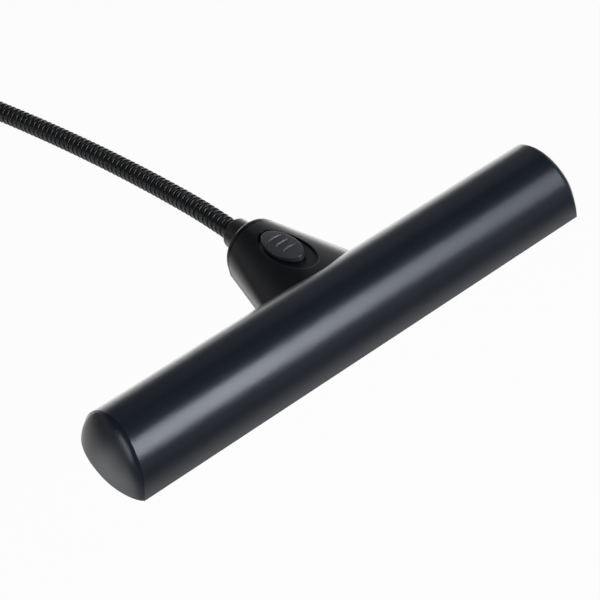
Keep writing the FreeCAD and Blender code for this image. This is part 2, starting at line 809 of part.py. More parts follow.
switch_middle = thumb_centre - thumb_travel / 2
switch = box(-switch_width / 2, switch_width / 2, switch_middle - switch_length / 2,
             switch_middle + switch_length / 2, switch_bottom, switch_top)
well_half = thumb_travel / 2 + stem_length / 2 + moving_gap
switch = switch.cut(box(-slot_side, slot_side, switch_middle - well_half, switch_middle + well_half,
                        switch_top - switch_well_depth, switch_top + 1))
save(put_neck(switch), "slide_switch")

board2 = box(-switch_board_width / 2, switch_board_width / 2, switch_board_front,
             switch_board_rear, board2_bottom, switch_bottom)
for s, x in switch_posts:
    board2 = board2.cut(rod(small_screw_radius + screw_gap, V(x, s, board2_bottom - 1),
                            V(0, 0, 1), switch_board_thickness + 2))
save(put_neck(board2), "switch_board")
screws = [pan_screw(V(x, s, board2_bottom), V(0, 0, 1), 1.7, 1.0, small_screw_radius,
                    switch_height + 0.8)
          for s, x in switch_posts]
save(put_neck(Part.makeCompound(screws)), "switch_board_screws")

# ferrules, nuts and leads
def hex_nut(flats, height, bore, at, axis, across):
    """A six-sided nut standing on the point along the axis."""
    radius = flats / math.sqrt(3)
    other = axis.cross(across)
    points = []
    for k in range(6):
        angle = math.radians(60 * k + 30)
        points.append(at + across * (radius * math.cos(angle)) + other * (radius * math.sin(angle)))
    nut = prism(points, axis * height)
    return nut.cut(rod(bore, at - axis, axis, height + 2))


axis_in_neck = V(0, 0, gooseneck_axis_z)
thread = rod(ferrule_thread_radius, axis_in_neck + V(0, thread_start, 0), V(0, 1, 0),
             neck_length - thread_start)
collar = rod(ferrule_collar_radius, axis_in_neck + V(0, neck_length, 0), V(0, 1, 0),
             ferrule_collar_length)
collar = collar.makeFillet(ferrule_edge, [e for e in collar.Edges if e.BoundBox.YMin
                                          > neck_length + ferrule_collar_length - 0.01])
ferrule = fuse(thread, collar)
ferrule = ferrule.cut(rod(ferrule_bore_radius, axis_in_neck + V(0, thread_start - 1, 0),
                          V(0, 1, 0), 40))
socket_start = neck_length + ferrule_collar_length - ferrule_socket_depth
ferrule = ferrule.cut(rod(gooseneck_valley_radius + fit_gap, axis_in_neck + V(0, socket_start, 0),
                          V(0, 1, 0), ferrule_socket_depth + 1))
save(put_neck(ferrule), "head_ferrule")
nut = hex_nut(nut_flats, nut_height, ferrule_thread_radius + seat_gap,
              axis_in_neck + V(0, cavity_rear - nut_height, 0), V(0, 1, 0), V(1, 0, 0))
save(put_neck(nut), "head_nut")

lead_after = boss_top - power_board_top
lead_before = neck_length - thread_start + 0.6
lead_edges = path_edges(lead_before, lead_after)
lead_start, lead_dir = path_at(-lead_before)
inner_lead = tube_along(lead_edges, lead_diameter / 2, lead_start, lead_dir)
save(inner_lead, "inner_lead")

board_spot = neck_to_head(lead_x, lead_bend_s, switch_bottom)
lead_points = [board_spot, neck_to_head(lead_x, lead_bend_s, lead_z), neck_to_head(lead_x, 1.5, lead_z)]
landing = V(lead_points[2])
landing.z = board_top
lead_points.append(landing)
lead_points = [p + head_move for p in lead_points]
first_dir = lead_points[1] - lead_points[0]
head_lead = tube_along(rounded_path(lead_points), head_lead_diameter / 2, lead_points[0], first_dir)
save(head_lead, "head_lead")

# gooseneck
# Joints are numbered from the base, so the links are laid from the head backwards.
joint_s = []
s = path_length - base_sleeve_length - end_stub - joint_gap / 2
for k in range(link_count + 1):
    joint_s.append(s)
    s -= joint_step
plug = 3.6
save(ribbed_tube(joint_s[0] + joint_gap / 2, ribs_per_link // 2, 0.0, plug), "gooseneck_base_end")
for k in range(link_count):
    start = joint_s[k + 1] + joint_gap / 2
    save(ribbed_tube(start, ribs_per_link), "gooseneck_link_%02d" % (k + 1))
save(ribbed_tube(ferrule_collar_length, ribs_per_link // 2, plug, 0.0), "gooseneck_head_end")
for k, s in enumerate(joint_s):
    point, direction = path_at(s)
    bend = neck_x - direction * neck_x.dot(direction)
    bend.normalize()
    turn = direction.cross(bend)
    axis = bend if k % 2 == 0 else turn
    print("joint %02d  at %s  axis %s" % (k + 1, [round(c, 3) for c in point],
                                          [round(c, 5) for c in axis]))

# battery base
bay_middle = (in_front + cavity_back) / 2
window = window_width / 2
base = box(-half_w, half_w, housing_front, housing_back, housing_bottom, housing_top)
base = base.cut(box(-in_w, in_w, in_front, cavity_back, floor_top, shelf_bottom))
base = base.cut(box(-in_w, in_w, in_front, housing_back - housing_wall, shelf_top, housing_top + 1))
track = window + tongue_reach + moving_gap
base = base.cut(box(-track, track, cavity_back - 0.01, lip_front, housing_bottom - 1, shelf_bottom))
base = base.cut(box(-window, window, cavity_back - 0.01, housing_back + 1, housing_bottom - 1,
                    shelf_bottom))
wire_slot = 2.0
base = base.cut(box(-in_w + 1, -in_w + 1 + wire_slot, in_front + 1, in_front + 5, shelf_bottom - 1,
                    shelf_top + 1))
jack_z = (shelf_top + housing_top) / 2
base = base.cut(rod(jack_barrel_radius + fit_gap, V(in_w - 1, jack_y, jack_z), V(1, 0, 0),
                    housing_wall + 2))
lid_posts = ((-in_w + 2.0, in_front + 2.0), (in_w - 2.0, housing_back - housing_wall - 2.0))
for x, y in lid_posts:
    base = base.fuse(box(x - 2.5, x + 2.5, y - 2.5, y + 2.5, shelf_top - 0.1, housing_top))
    base = base.cut(rod(screw_radius + screw_gap, V(x, y, housing_top - lid_screw_length),
                        V(0, 0, 1), lid_screw_length + 1))
board3_x0 = -in_w + 5.5
board3_x1 = in_w - jack_bore_depth - 1.5
for y in (in_front + 3.0, housing_back - housing_wall - 5.0):
    base = base.fuse(box(board3_x0, board3_x1, y - 0.8, y + 0.8, shelf_top - 0.1,
                         power_board_bottom))

# Ears for the jaw's pivot pin.
pivot = V(0, pivot_y, pivot_z)
for side in (-1, 1):
    x0 = ear_inner if side > 0 else -ear_inner - ear_thickness
    eye = rod(pivot_eye_radius, V(x0, pivot_y, pivot_z), V(1, 0, 0), ear_thickness)
    arm = box(x0, x0 + ear_thickness, pivot_y, housing_front + 0.5, pivot_z - pivot_eye_radius,
              pivot_z + pivot_eye_radius)
    base = base.fuse(eye).fuse(arm)
base = base.cut(rod(pivot_radius + 0.02, V(-half_w, pivot_y, pivot_z), V(1, 0, 0), housing_width))
save(base.removeSplitter(), "battery_housing")

lid = box(-half_w, half_w, housing_front, housing_back, housing_top, housing_top + lid_thickness)
lid = lid.makeFillet(1.0, [e for e in lid.Edges if abs(e.CenterOfMass.z - housing_top
                                                        - lid_thickness) < 0.01])
boss = rod(boss_radius, V(axis_x, gooseneck_axis_y, housing_top + 0.5), V(0, 0, 1),
           lid_thickness + boss_height - 0.5)
lid = lid.fuse(boss)
lid = lid.cut(rod(ferrule_thread_radius + screw_gap, V(axis_x, gooseneck_axis_y, housing_top - 1),
                  V(0, 0, 1), lid_thickness + boss_height + 2))
for x, y in lid_posts:
    lid = lid.cut(rod(screw_radius + screw_gap, V(x, y, housing_top - 1), V(0, 0, 1),
                      lid_thickness + 2))
    lid = lid.cut(rod(2.2, V(x, y, housing_top + lid_thickness - 1.3), V(0, 0, 1), 5))
save(lid.removeSplitter(), "housing_lid")
screws = [pan_screw(V(x, y, housing_top + lid_thickness - 1.3), V(0, 0, -1), 2.0, 1.1, screw_radius,
                    lid_screw_length)
          for x, y in lid_posts]
save(Part.makeCompound(screws), "lid_screws")

up = V(0, 0, 1)
axis_foot = V(axis_x, gooseneck_axis_y, boss_top)
thread_low = housing_top - nut_height - thread_past_nut
thread = rod(ferrule_thread_radius, V(axis_x, gooseneck_axis_y, thread_low), up,
             boss_top - thread_low)
sleeve = rod(base_sleeve_radius, axis_foot, up, base_sleeve_length)
base_ferrule = fuse(thread, sleeve)
base_ferrule = base_ferrule.cut(rod(ferrule_bore_radius, V(axis_x, gooseneck_axis_y, thread_low - 1),
                                    up, 60))
base_ferrule = base_ferrule.cut(rod(gooseneck_valley_radius + fit_gap,
                                    axis_foot + up * (base_sleeve_length - ferrule_socket_depth), up,
                                    ferrule_socket_depth + 1))
top_edges = [e for e in base_ferrule.Edges
             if abs(e.BoundBox.ZMin - boss_top - base_sleeve_length) < 0.01
             and abs(e.BoundBox.XLength - 2 * base_sleeve_radius) < 0.01]
base_ferrule = base_ferrule.makeFillet(0.5, top_edges)
save(base_ferrule, "base_ferrule")
nut = hex_nut(nut_flats, nut_height, ferrule_thread_radius + seat_gap,
              V(axis_x, gooseneck_axis_y, housing_top - nut_height), up, V(1, 0, 0))
save(nut, "base_nut")

board3 = box(board3_x0, board3_x1, in_front + 1.5, housing_back - housing_wall - 3.5,
             power_board_bottom, power_board_top)
save(board3, "power_board")

jack = box(in_w - jack_bore_depth, in_w - fit_gap, jack_y - jack_body / 2, jack_y + jack_body / 2,
           shelf_top + fit_gap, jack_z + jack_body / 2)
jack = jack.fuse(rod(jack_barrel_radius, V(in_w - 1, jack_y, jack_z), V(1, 0, 0), housing_wall + 1))
jack = jack.cut(rod(jack_bore_radius, V(half_w - jack_bore_depth, jack_y, jack_z), V(1, 0, 0),
                    jack_bore_depth + 1)).removeSplitter()
save(jack, "power_jack")

for k in range(3):
    x = (k - 1) * cell_spacing
    way = 1 if k % 2 == 0 else -1
    low = cell_bottom if way > 0 else cell_bottom + cell_tip_height
    can = rod(cell_diameter / 2, V(x, bay_middle, low), up, cell_length - cell_tip_height)
    tip_z = cell_top - cell_tip_height if way > 0 else cell_bottom
    tip = rod(cell_tip_radius, V(x, bay_middle, tip_z), up, cell_tip_height)
    save(fuse(can, tip), "cell_%d" % (k + 1))

leaf = contact_thickness
springs = []
plates = []
for k in range(3):
    x = (k - 1) * cell_spacing
    y = bay_middle
    rise = contact_spring_height
    points = [(y - 4.5, floor_top), (y + 4.5, floor_top), (y + 4.5, floor_top + leaf),
              (y - 3.0, floor_top + leaf), (y + 1.0, floor_top + rise), (y - 1.0, floor_top + rise),
              (y - 4.5, floor_top + leaf)]
    springs.append(side_plate(points, x - 2.6, x + 2.6))
    plates.append(box(x - 4.0, x + 4.0, y - 4.0, y + 4.0, cell_top, cell_top + contact_thickness))
save(Part.makeCompound(springs), "contact_springs")
save(Part.makeCompound(plates), "contact_plates")

cover_z1 = shelf_bottom - moving_gap
tongue_y0 = cavity_back + moving_gap
panel = window - moving_gap
cover = box(-window - tongue_reach, window + tongue_reach, tongue_y0, tongue_y0 + tongue_thickness,
            housing_bottom, cover_z1)
cover = cover.fuse(box(-panel, panel, tongue_y0, housing_back, housing_bottom, cover_z1))
for k in range(grip_rib_count):
    z = housing_bottom + 5 + k * grip_rib_pitch
    cover = cover.cut(box(-7, 7, housing_back - 0.4, housing_back + 1, z, z + grip_rib_pitch / 2))
save(cover.removeSplitter(), "battery_cover")

# spring clip
fixed_pad = box(-pad_width / 2, pad_width / 2, 0, pad_thickness, -pad_height / 2, pad_height / 2)
groove_count = 5
for k in range(groove_count):
    z = (k - (groove_count - 1) / 2) * 3.0
    fixed_pad = fixed_pad.cut(box(-pad_width, pad_width, -1, 0.4, z - 0.4, z + 0.4))
fixed_pad.translate(V(0, housing_front - pad_thickness, 0))
save(fixed_pad, "fixed_pad")
jaw_face = -grip_gap - pad_thickness
moving_pad = box(-pad_width / 2, pad_width / 2, jaw_face, -grip_gap, -pad_height / 2, pad_height / 2)
for k in range(groove_count):
    z = (k - (groove_count - 1) / 2) * 3.0
    moving_pad = moving_pad.cut(box(-pad_width, pad_width, -grip_gap - 0.4, 5, z - 0.4, z + 0.4))
save(moving_pad, "moving_pad")

jaw_back = jaw_face - jaw_plate
bow = jaw_face - throat_depth
jaw_top = throat_start + 8.0
half_jaw = jaw_width / 2
low_z = -pad_height / 2 - 1.0
lower = side_plate([(jaw_face, low_z), (jaw_face, throat_start), (bow, throat_start + 2.2),
                    (bow, jaw_top), (bow - jaw_plate, jaw_top),
                    (bow - jaw_plate, throat_start + 1.2), (jaw_back, throat_start - 1.4),
                    (jaw_back, low_z + 1.5), (jaw_back + 1.0, low_z)], -half_jaw, half_jaw)
lever_y0 = pivot_y - 3.0
lever_z0 = pivot_z + 7.0
lean_y = thumb_plate_top_y - lever_y0
lean_z = thumb_plate_top_z - lever_z0
size = math.hypot(lean_y, lean_z)
ny = lean_z / size * jaw_plate / 2
nz = -lean_y / size * jaw_plate / 2
upper = side_plate([(lever_y0 + ny, lever_z0 + nz), (lever_y0 - ny, lever_z0 - nz),
                    (thumb_plate_top_y - ny, thumb_plate_top_z - nz),
                    (thumb_plate_top_y + ny, thumb_plate_top_z + nz)], -half_jaw, half_jaw)
eye = pivot_eye_radius
cheek_points = [(bow - jaw_plate, jaw_top - 7.0), (bow, jaw_top - 7.0),
                (bow, jaw_top - 1.0), (pivot_y + 2.4, pivot_z - 4.0), (pivot_y + eye, pivot_z - 1.5),
                (pivot_y + eye, pivot_z + 1.5), (pivot_y + 2.4, pivot_z + 4.0),
                (lever_y0 + ny, lever_z0 + 2.0), (lever_y0 + 0.28 * lean_y, lever_z0 + 0.28 * lean_z),
                (lever_y0 - ny - 0.5, lever_z0 - 1.0), (bow - jaw_plate, jaw_top + 4.0)]
jaw = fuse(lower, upper)
for side in (-1, 1):
    x0 = half_jaw - jaw_cheek if side > 0 else -half_jaw
    jaw = jaw.fuse(side_plate(cheek_points, x0, x0 + jaw_cheek))
jaw = jaw.cut(rod(pivot_radius + pin_fit, V(-half_w, pivot_y, pivot_z), V(1, 0, 0), housing_width))
jaw = jaw.removeSplitter()
save(jaw, "jaw_lever")

pin_head = half_jaw + moving_gap
pin = rod(pivot_radius, V(-pin_head - 1.6, pivot_y, pivot_z), V(1, 0, 0), 2 * pin_head + 1.6)
pin = pin.fuse(rod(2.6, V(pin_head, pivot_y, pivot_z), V(1, 0, 0), 1.0))
save(pin.removeSplitter(), "jaw_pin")
clip = rod(2.8, V(-pin_head - 0.8, pivot_y, pivot_z), V(1, 0, 0), 0.8)
clip = clip.cut(rod(pivot_radius + 0.02, V(-pin_head - 2, pivot_y, pivot_z), V(1, 0, 0), 4))
clip = clip.cut(box(-pin_head - 2, -pin_head + 1, pivot_y - 1.0, pivot_y + 1.0, pivot_z - 4,
                    pivot_z))
save(clip, "pin_clip")


def biarc(p0, t0, p1, t1):
    """Two tangent arcs from p0 to p1, with the given directions at their ends."""
    v = p1 - p0
    t = t0 + t1
    spread = 2 * (1 - t0.dot(t1))
    reach = (-v.dot(t) + math.sqrt(v.dot(t) ** 2 + spread * v.dot(v))) / spread
    q0 = p0 + t0 * reach
    q1 = p1 - t1 * reach
    middle = (q0 + q1) * 0.5
    return [arc_by_corner(p0, q0, middle), arc_by_corner(middle, q1, p1)]


def arc_by_corner(a, corner, b):
    """The arc from a to b that is tangent to both legs at the corner."""
    legs = (a - corner) + (b - corner)
    legs.normalize()
    reach = (a - corner).Length
    half = (a - corner).getAngle(b - corner) / 2
    radius = reach * math.tan(half)
    top = corner + legs * (reach / math.cos(half) - radius)
    return Part.Arc(a, top, b)


def coil_point(angle):
    x = spring_pitch * (angle / (2 * math.pi) - spring_turns / 2)
    y = pivot_y + spring_mean_radius * math.cos(angle + coil_start)
    z = pivot_z + spring_mean_radius * math.sin(angle + coil_start)
    return V(x, y, z)


def coil_direction(angle):
    rise = spring_pitch / (2 * math.pi)
    d = V(rise, -spring_mean_radius * math.sin(angle + coil_start),
          spring_mean_radius * math.cos(angle + coil_start))
    d.normalize()
    return d


# The coil starts with a leg along the battery housing's front and ends with one along the
# lever, so its turns end where each leg leaves at a tangent.
coil_start = math.radians(0.0)
coil_end = 2 * math.pi * spring_turns - math.radians(25.0)
steps = int(round(coil_end / (math.pi / 2)))
arcs = []
for k in range(steps):
    a0 = coil_end * k / steps
    a1 = coil_end * (k + 1) / steps
    arcs += biarc(coil_point(a0), coil_direction(a0), coil_point(a1), coil_direction(a1))
leg_in = coil_point(0) - coil_direction(0) * spring_leg
leg_out = coil_point(coil_end) + coil_direction(coil_end) * spring_leg
edges = [Part.LineSegment(leg_in, coil_point(0)).toShape()]
edges += [a.toShape() for a in arcs]
edges.append(Part.LineSegment(coil_point(coil_end), leg_out).toShape())
coil = tube_along(edges, spring_wire / 2, leg_in, coil_direction(0))
save(coil, "jaw_spring")

samples = [coil_point(coil_end * k / 400) for k in range(401)]
gap_steps = int(400 * 0.6 * 2 * math.pi / coil_end)
least = min((samples[i] - samples[j]).Length for i in range(401)
            for j in range(i + gap_steps, 401)) - spring_wire
print("spring: %.2f turns, least gap to itself %.3f mm" % (coil_end / 2 / math.pi, least))
print("head frame at %s, straight run %.2f, ribs %d" % (
    [round(c, 3) for c in head_move], straight_length, ribs_per_link * (link_count + 1)))
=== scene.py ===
# %% [markdown]
# # A clip-on music stand light
#
# The object is a small lamp: a long half-oval head of black moulded plastic, a neck with a
# thumb switch, a ribbed gooseneck, and a sprung clip that holds the cells. The exact solids
# come as a fixed frame, in metres. This lesson dresses them: it gives every piece its finish,
# and replaces those whose surface needs more than a plain solid can show.

# %% Load the frame
import json
import math

import bmesh
import bpy
from mathutils import Matrix, Vector


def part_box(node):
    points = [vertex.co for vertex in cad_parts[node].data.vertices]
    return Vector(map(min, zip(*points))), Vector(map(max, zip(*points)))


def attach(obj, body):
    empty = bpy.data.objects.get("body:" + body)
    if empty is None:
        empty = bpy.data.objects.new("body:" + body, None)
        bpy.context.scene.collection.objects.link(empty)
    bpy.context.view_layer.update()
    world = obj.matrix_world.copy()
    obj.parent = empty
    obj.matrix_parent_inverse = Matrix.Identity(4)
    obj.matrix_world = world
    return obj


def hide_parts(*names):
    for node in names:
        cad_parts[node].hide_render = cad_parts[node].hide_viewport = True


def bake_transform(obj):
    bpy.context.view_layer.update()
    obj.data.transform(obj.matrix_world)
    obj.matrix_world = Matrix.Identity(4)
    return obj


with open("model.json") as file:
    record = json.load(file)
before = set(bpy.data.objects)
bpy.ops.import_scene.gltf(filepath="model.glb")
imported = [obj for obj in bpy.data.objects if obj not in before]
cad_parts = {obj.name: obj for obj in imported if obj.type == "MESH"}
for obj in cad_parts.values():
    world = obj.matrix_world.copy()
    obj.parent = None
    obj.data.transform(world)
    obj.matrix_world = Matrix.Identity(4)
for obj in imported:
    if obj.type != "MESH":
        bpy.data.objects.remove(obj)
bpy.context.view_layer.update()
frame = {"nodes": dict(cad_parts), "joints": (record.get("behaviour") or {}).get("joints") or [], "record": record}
nodes = frame["nodes"]
MM = 0.001
print("pieces in the frame:", len(nodes))

# %% [markdown]
# ## The camera
#
# The photograph looks down on the head from its left front. A camera could be aimed by eye,
# but here its direction, distance and lens come from a fit to the head's outline. The lens is
# long, which keeps the head's long sides nearly parallel. The camera is placed from the head's
# own frame: its origin is in the middle of the open underside, X runs along the head and Y
# runs back to the neck.

# %% Camera
shell_low, shell_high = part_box("head_shell")
head = Vector(((shell_low.x + shell_high.x) / 2, (shell_low.y + shell_high.y) / 2, shell_low.z))
azimuth = math.radians(-38.456)
elevation = math.radians(52.668)
distance = 0.64755
focal_px = 1800.0
image_size = 600.0
centre_px = (341.007, 318.552)
sensor_mm = 36.0

back = Vector((math.sin(azimuth) * math.cos(elevation),
               -math.cos(azimuth) * math.cos(elevation), math.sin(elevation)))
right = Vector((math.cos(azimuth), math.sin(azimuth), 0.0))
up = back.cross(right)
half = image_size / 2
aim = head - right * ((centre_px[0] - half) * distance / focal_px)
aim += up * ((centre_px[1] - half) * distance / focal_px)
camera_data = bpy.data.cameras.new("camera")
camera_data.sensor_width = sensor_mm
camera_data.lens = focal_px / image_size * sensor_mm
camera_data.clip_start = 0.01
camera_data.clip_end = 100.0
camera = bpy.data.objects.new("camera", camera_data)
camera.matrix_world = Matrix.Translation(aim + back * distance) @ Matrix(
    (right, up, back)).transposed().to_4x4()
bpy.context.collection.objects.link(camera)
bpy.context.scene.camera = camera
bpy.context.scene.view_settings.view_transform = "Standard"
print("lens %.1f mm" % camera_data.lens)


# %% [markdown]
# ## Small helpers
#
# Every piece below is made from points and faces, and every finish from nodes, so both get
# short functions. Node trees could be wired by hand in the editor, but a script that names each
# step can be read again later. The first three helpers add a node, feed a socket and make an
# object. The others stand for small steps that come back in several finishes: a sum, a smooth
# change from one value to another, and a mix of two colours or two shaders.

# %% Helpers for nodes and objects
def add(tree, kind, **values):
    node = tree.nodes.new(kind)
    for name, value in values.items():
        if hasattr(node, name):
            setattr(node, name, value)
        else:
            node.inputs[name.replace("_", " ")].default_value = value
    return node


def feed(tree, value, socket):
    """Link a socket to another one, or give it a plain value."""
    if isinstance(value, bpy.types.NodeSocket):
        tree.links.new(value, socket)
    else:
        socket.default_value = value


def make_object(name, points, faces):
    mesh = bpy.data.meshes.new(name)
    mesh.from_pydata(points, [], faces)
    mesh.update()
    mesh.shade_smooth()
    obj = bpy.data.objects.new(name, mesh)
    bpy.context.collection.objects.link(obj)
    return obj


# %% Helpers for small groups of nodes
def calculate(tree, operation, *values):
    node = add(tree, "ShaderNodeMath", operation=operation)
    for value, socket in zip(values, node.inputs):
        feed(tree, value, socket)
    return node.outputs[0]


def ease(tree, source, start, end, first, last):
    """From the first value to the last, smoothly, while the source goes from start to end."""
    node = add(tree, "ShaderNodeMapRange", interpolation_type="SMOOTHSTEP")
    for socket, value in (("Value", source), ("From Min", start), ("From Max", end),
                          ("To Min", first), ("To Max", last)):
        feed(tree, value, node.inputs[socket])
    return node.outputs[0]


def mix_colours(tree, share, first, second):
    """The Mix node has sockets for every kind of value: 6 and 7 are its two colours."""
    node = add(tree, "ShaderNodeMix", data_type="RGBA")
    for value, index in ((share, 0), (first, 6), (second, 7)):
        feed(tree, value, node.inputs[index])
    return node.outputs[2]


def mix_shaders(tree, share, first, second):
    node = add(tree, "ShaderNodeMixShader")
    for value, socket in zip((share, first.outputs[0], second.outputs[0]), node.inputs):
        feed(tree, value, socket)
    return node


print("helpers ready")

# %% [markdown]
# ## The white table
#
# The lamp was photographed on white. The table could be lit until it is white, but then the
# same light would wash out the black plastic. So the sheet's paint asks what kind of ray meets
# it. The camera sees almost pure white, mixed with a little matt paint that keeps the lamp's
# shadow. Mirror rays see white near the lamp that fades further out, as a lit table does in
# satin plastic. All other rays meet plain matt white.

# %% Table sheet
floor_z = -0.42
floor_reach = 6.0
floor = make_object("floor", [(x * floor_reach, y * floor_reach, floor_z)
                              for x, y in ((-1, -1), (1, -1), (1, 1), (-1, 1))], [(0, 1, 2, 3)])
print("table %.0f m wide" % (2 * floor_reach))

# %% Table paint
bright_within = 0.3
faded_beyond = 2.1
faded_level = 0.15
camera_share = 0.95
full_white = (1.0, 1.0, 1.0, 1.0)
matt_white = (0.9, 0.9, 0.9, 1.0)

floor_paint = bpy.data.materials.new("white_table")
floor_paint.use_nodes = True
tree = floor_paint.node_tree
tree.nodes.clear()
rays = add(tree, "ShaderNodeLightPath")
mirrored = calculate(tree, "MAXIMUM", rays.outputs["Is Glossy Ray"],
                     rays.outputs["Is Transmission Ray"])
place = add(tree, "ShaderNodeNewGeometry")
away = add(tree, "ShaderNodeVectorMath", operation="DISTANCE")
feed(tree, place.outputs["Position"], away.inputs[0])
feed(tree, (head.x, head.y, floor_z), away.inputs[1])
fall = ease(tree, away.outputs["Value"], bright_within, faded_beyond, 1.0, faded_level)
mirror_share = calculate(tree, "MULTIPLY", mirrored, fall)
white_share = calculate(tree, "MULTIPLY_ADD", rays.outputs["Is Camera Ray"], camera_share,
                        mirror_share)
matt = add(tree, "ShaderNodeBsdfDiffuse", Color=matt_white)
dark = add(tree, "ShaderNodeEmission", Color=full_white, Strength=0.0)
white = add(tree, "ShaderNodeEmission", Color=full_white, Strength=1.0)
unmirrored = calculate(tree, "SUBTRACT", 1.0, mirrored)
base = mix_shaders(tree, unmirrored, dark, matt)
mix = mix_shaders(tree, white_share, base, white)
out = add(tree, "ShaderNodeOutputMaterial")
feed(tree, mix.outputs[0], out.inputs["Surface"])
floor.data.materials.append(floor_paint)
print("table paint nodes:", len(tree.nodes))

# %% [markdown]
# ## The air
#
# The crown of the head is dark, because the room above it was. Only near the horizon does the
# satin plastic mirror something pale. A picture of a room could surround the scene, but a
# plain background that fades with height says the same in a few nodes. To the camera it is white.

# %% Air
horizon_level = 0.35
overhead_level = 0.02
dark_above = 0.30

world = bpy.data.worlds.new("studio_air")
bpy.context.scene.world = world
world.use_nodes = True
tree = world.node_tree
tree.nodes.clear()
coordinates = add(tree, "ShaderNodeTexCoord")
direction = add(tree, "ShaderNodeSeparateXYZ")
feed(tree, coordinates.outputs["Generated"], direction.inputs[0])
fade = ease(tree, direction.outputs["Z"], 0.0, dark_above, horizon_level, overhead_level)
rays = add(tree, "ShaderNodeLightPath")
level = add(tree, "ShaderNodeMix", data_type="FLOAT")
for value, index in ((rays.outputs["Is Camera Ray"], 0), (fade, 2), (1.0, 3)):
    feed(tree, value, level.inputs[index])
air = add(tree, "ShaderNodeBackground", Color=full_white)
feed(tree, level.outputs[0], air.inputs["Strength"])
out = add(tree, "ShaderNodeOutputWorld")
feed(tree, air.outputs[0], out.inputs["Surface"])
print("air nodes:", len(tree.nodes))

# %% [markdown]
# ## The lamps
#
# Satin plastic shows its lamps as streaks, so each lamp here stands for a streak or a pale
# edge. A wide softbox in front and above, with a brighter strip in it, makes the long streak
# on the crown. Low panels to the left and behind light the end cap and the rear flank, and a
# faint one behind on the right lifts the neck. A wide lamp overhead gives plain light and
# isn't mirrored. Glowing sheets could do this too, but area lamps give less noise.


# %% Lamps
def softbox(name, place, target, width, height, radiance, tint=(1.0, 1.0, 1.0),
            along=Vector((1, 0, 0)), mirrored=True):
    """A rectangular lamp: its power follows from its size, so its brightness stays the same."""
    lamp = bpy.data.lights.new(name, "AREA")
    lamp.shape = "RECTANGLE"
    lamp.size = width
    lamp.size_y = height
    lamp.energy = radiance * math.pi * width * height
    lamp.color = tint
    obj = bpy.data.objects.new(name, lamp)
    bpy.context.collection.objects.link(obj)
    obj.location = place
    aim_at = (target - place).normalized()
    side = along - aim_at * aim_at.dot(along)
    side.normalize()
    obj.rotation_euler = Matrix((side, (-aim_at).cross(side), -aim_at)).transposed().to_euler()
    obj.visible_glossy = mirrored
    obj.visible_camera = False
    return obj


cool = (0.86, 0.92, 1.0)
crown_point = head + Vector((0, 0, 0.02))
left_place = crown_point + Vector((-1.02, 0.16, -0.46))
back_place = crown_point + Vector((0.42, 0.98, -0.42))
front_box = softbox("front_softbox", crown_point + Vector((0.52, -0.87, 0.81)), crown_point,
                    width=0.84, height=0.80, radiance=3.5, tint=cool)
softbox("front_core", crown_point + Vector((0.28, -0.83, 0.74)), crown_point,
        width=0.30, height=0.74, radiance=8.4, tint=cool)
softbox("left_strip", crown_point + Vector((-0.92, -0.06, 0.26)), crown_point,
        width=0.52, height=0.28, radiance=4.0, tint=cool, along=Vector((0, 1, 0.25)))
softbox("left_low", left_place, left_place + Vector((0.42, 0, 0.90)),
        width=0.70, height=0.80, radiance=1.0, along=Vector((0, 1, 0)))
softbox("back_low", back_place, back_place + Vector((0, -0.42, 0.90)),
        width=1.00, height=0.95, radiance=1.9)
softbox("back_right", crown_point + Vector((0.50, 0.80, 0.55)), crown_point,
        width=0.60, height=0.75, radiance=0.24)
softbox("top_fill", head + Vector((0, 0.2, 1.6)), head,
        width=2.2, height=2.2, radiance=1.4, mirrored=False)
print("lamps: %d, softbox %.1f W" % (len(bpy.data.lights), front_box.data.energy))

# %% [markdown]
# ## The grain of moulded plastic
#
# Moulded plastic isn't mirror smooth: its mould leaves a fine grain that spreads a reflection,
# and handling polishes it a little here and there. An image could carry this, but it would
# need a layout for every piece. Noise in object coordinates needs none and stays on the piece
# from any side. It is built once, in a node group that puts out a colour, a roughness and a
# height, and each material sets its own scale and strength.

# %% Grain group
grain = bpy.data.node_groups.new("moulded_grain", "ShaderNodeTree")
for name, kind, value in (("Grain Scale", "NodeSocketFloat", 2600.0),
                          ("Patch Scale", "NodeSocketFloat", 60.0),
                          ("Roughness", "NodeSocketFloat", 0.3),
                          ("Spread", "NodeSocketFloat", 0.06),
                          ("Colour", "NodeSocketColor", (0.02, 0.02, 0.02, 1.0)),
                          ("Tint", "NodeSocketColor", (0.03, 0.03, 0.03, 1.0))):
    socket = grain.interface.new_socket(name, in_out="INPUT", socket_type=kind)
    socket.default_value = value
for name, kind in (("Colour", "NodeSocketColor"), ("Roughness", "NodeSocketFloat"),
                   ("Height", "NodeSocketFloat")):
    grain.interface.new_socket(name, in_out="OUTPUT", socket_type=kind)
source = add(grain, "NodeGroupInput")
place = add(grain, "ShaderNodeTexCoord")
fine = add(grain, "ShaderNodeTexNoise", noise_dimensions="3D", Detail=3.0)
patch = add(grain, "ShaderNodeTexNoise", noise_dimensions="3D", Detail=2.0)
for noise, scale in ((fine, "Grain Scale"), (patch, "Patch Scale")):
    feed(grain, place.outputs["Object"], noise.inputs["Vector"])
    feed(grain, source.outputs[scale], noise.inputs["Scale"])
centred = calculate(grain, "SUBTRACT", patch.outputs["Fac"], 0.5)
uneven = calculate(grain, "MULTIPLY_ADD", centred, source.outputs["Spread"],
                   source.outputs["Roughness"])
blended = mix_colours(grain, patch.outputs["Fac"], source.outputs["Colour"],
                      source.outputs["Tint"])
sink = add(grain, "NodeGroupOutput")
feed(grain, blended, sink.inputs["Colour"])
feed(grain, uneven, sink.inputs["Roughness"])
feed(grain, fine.outputs["Fac"], sink.inputs["Height"])
print("grain nodes:", len(grain.nodes))

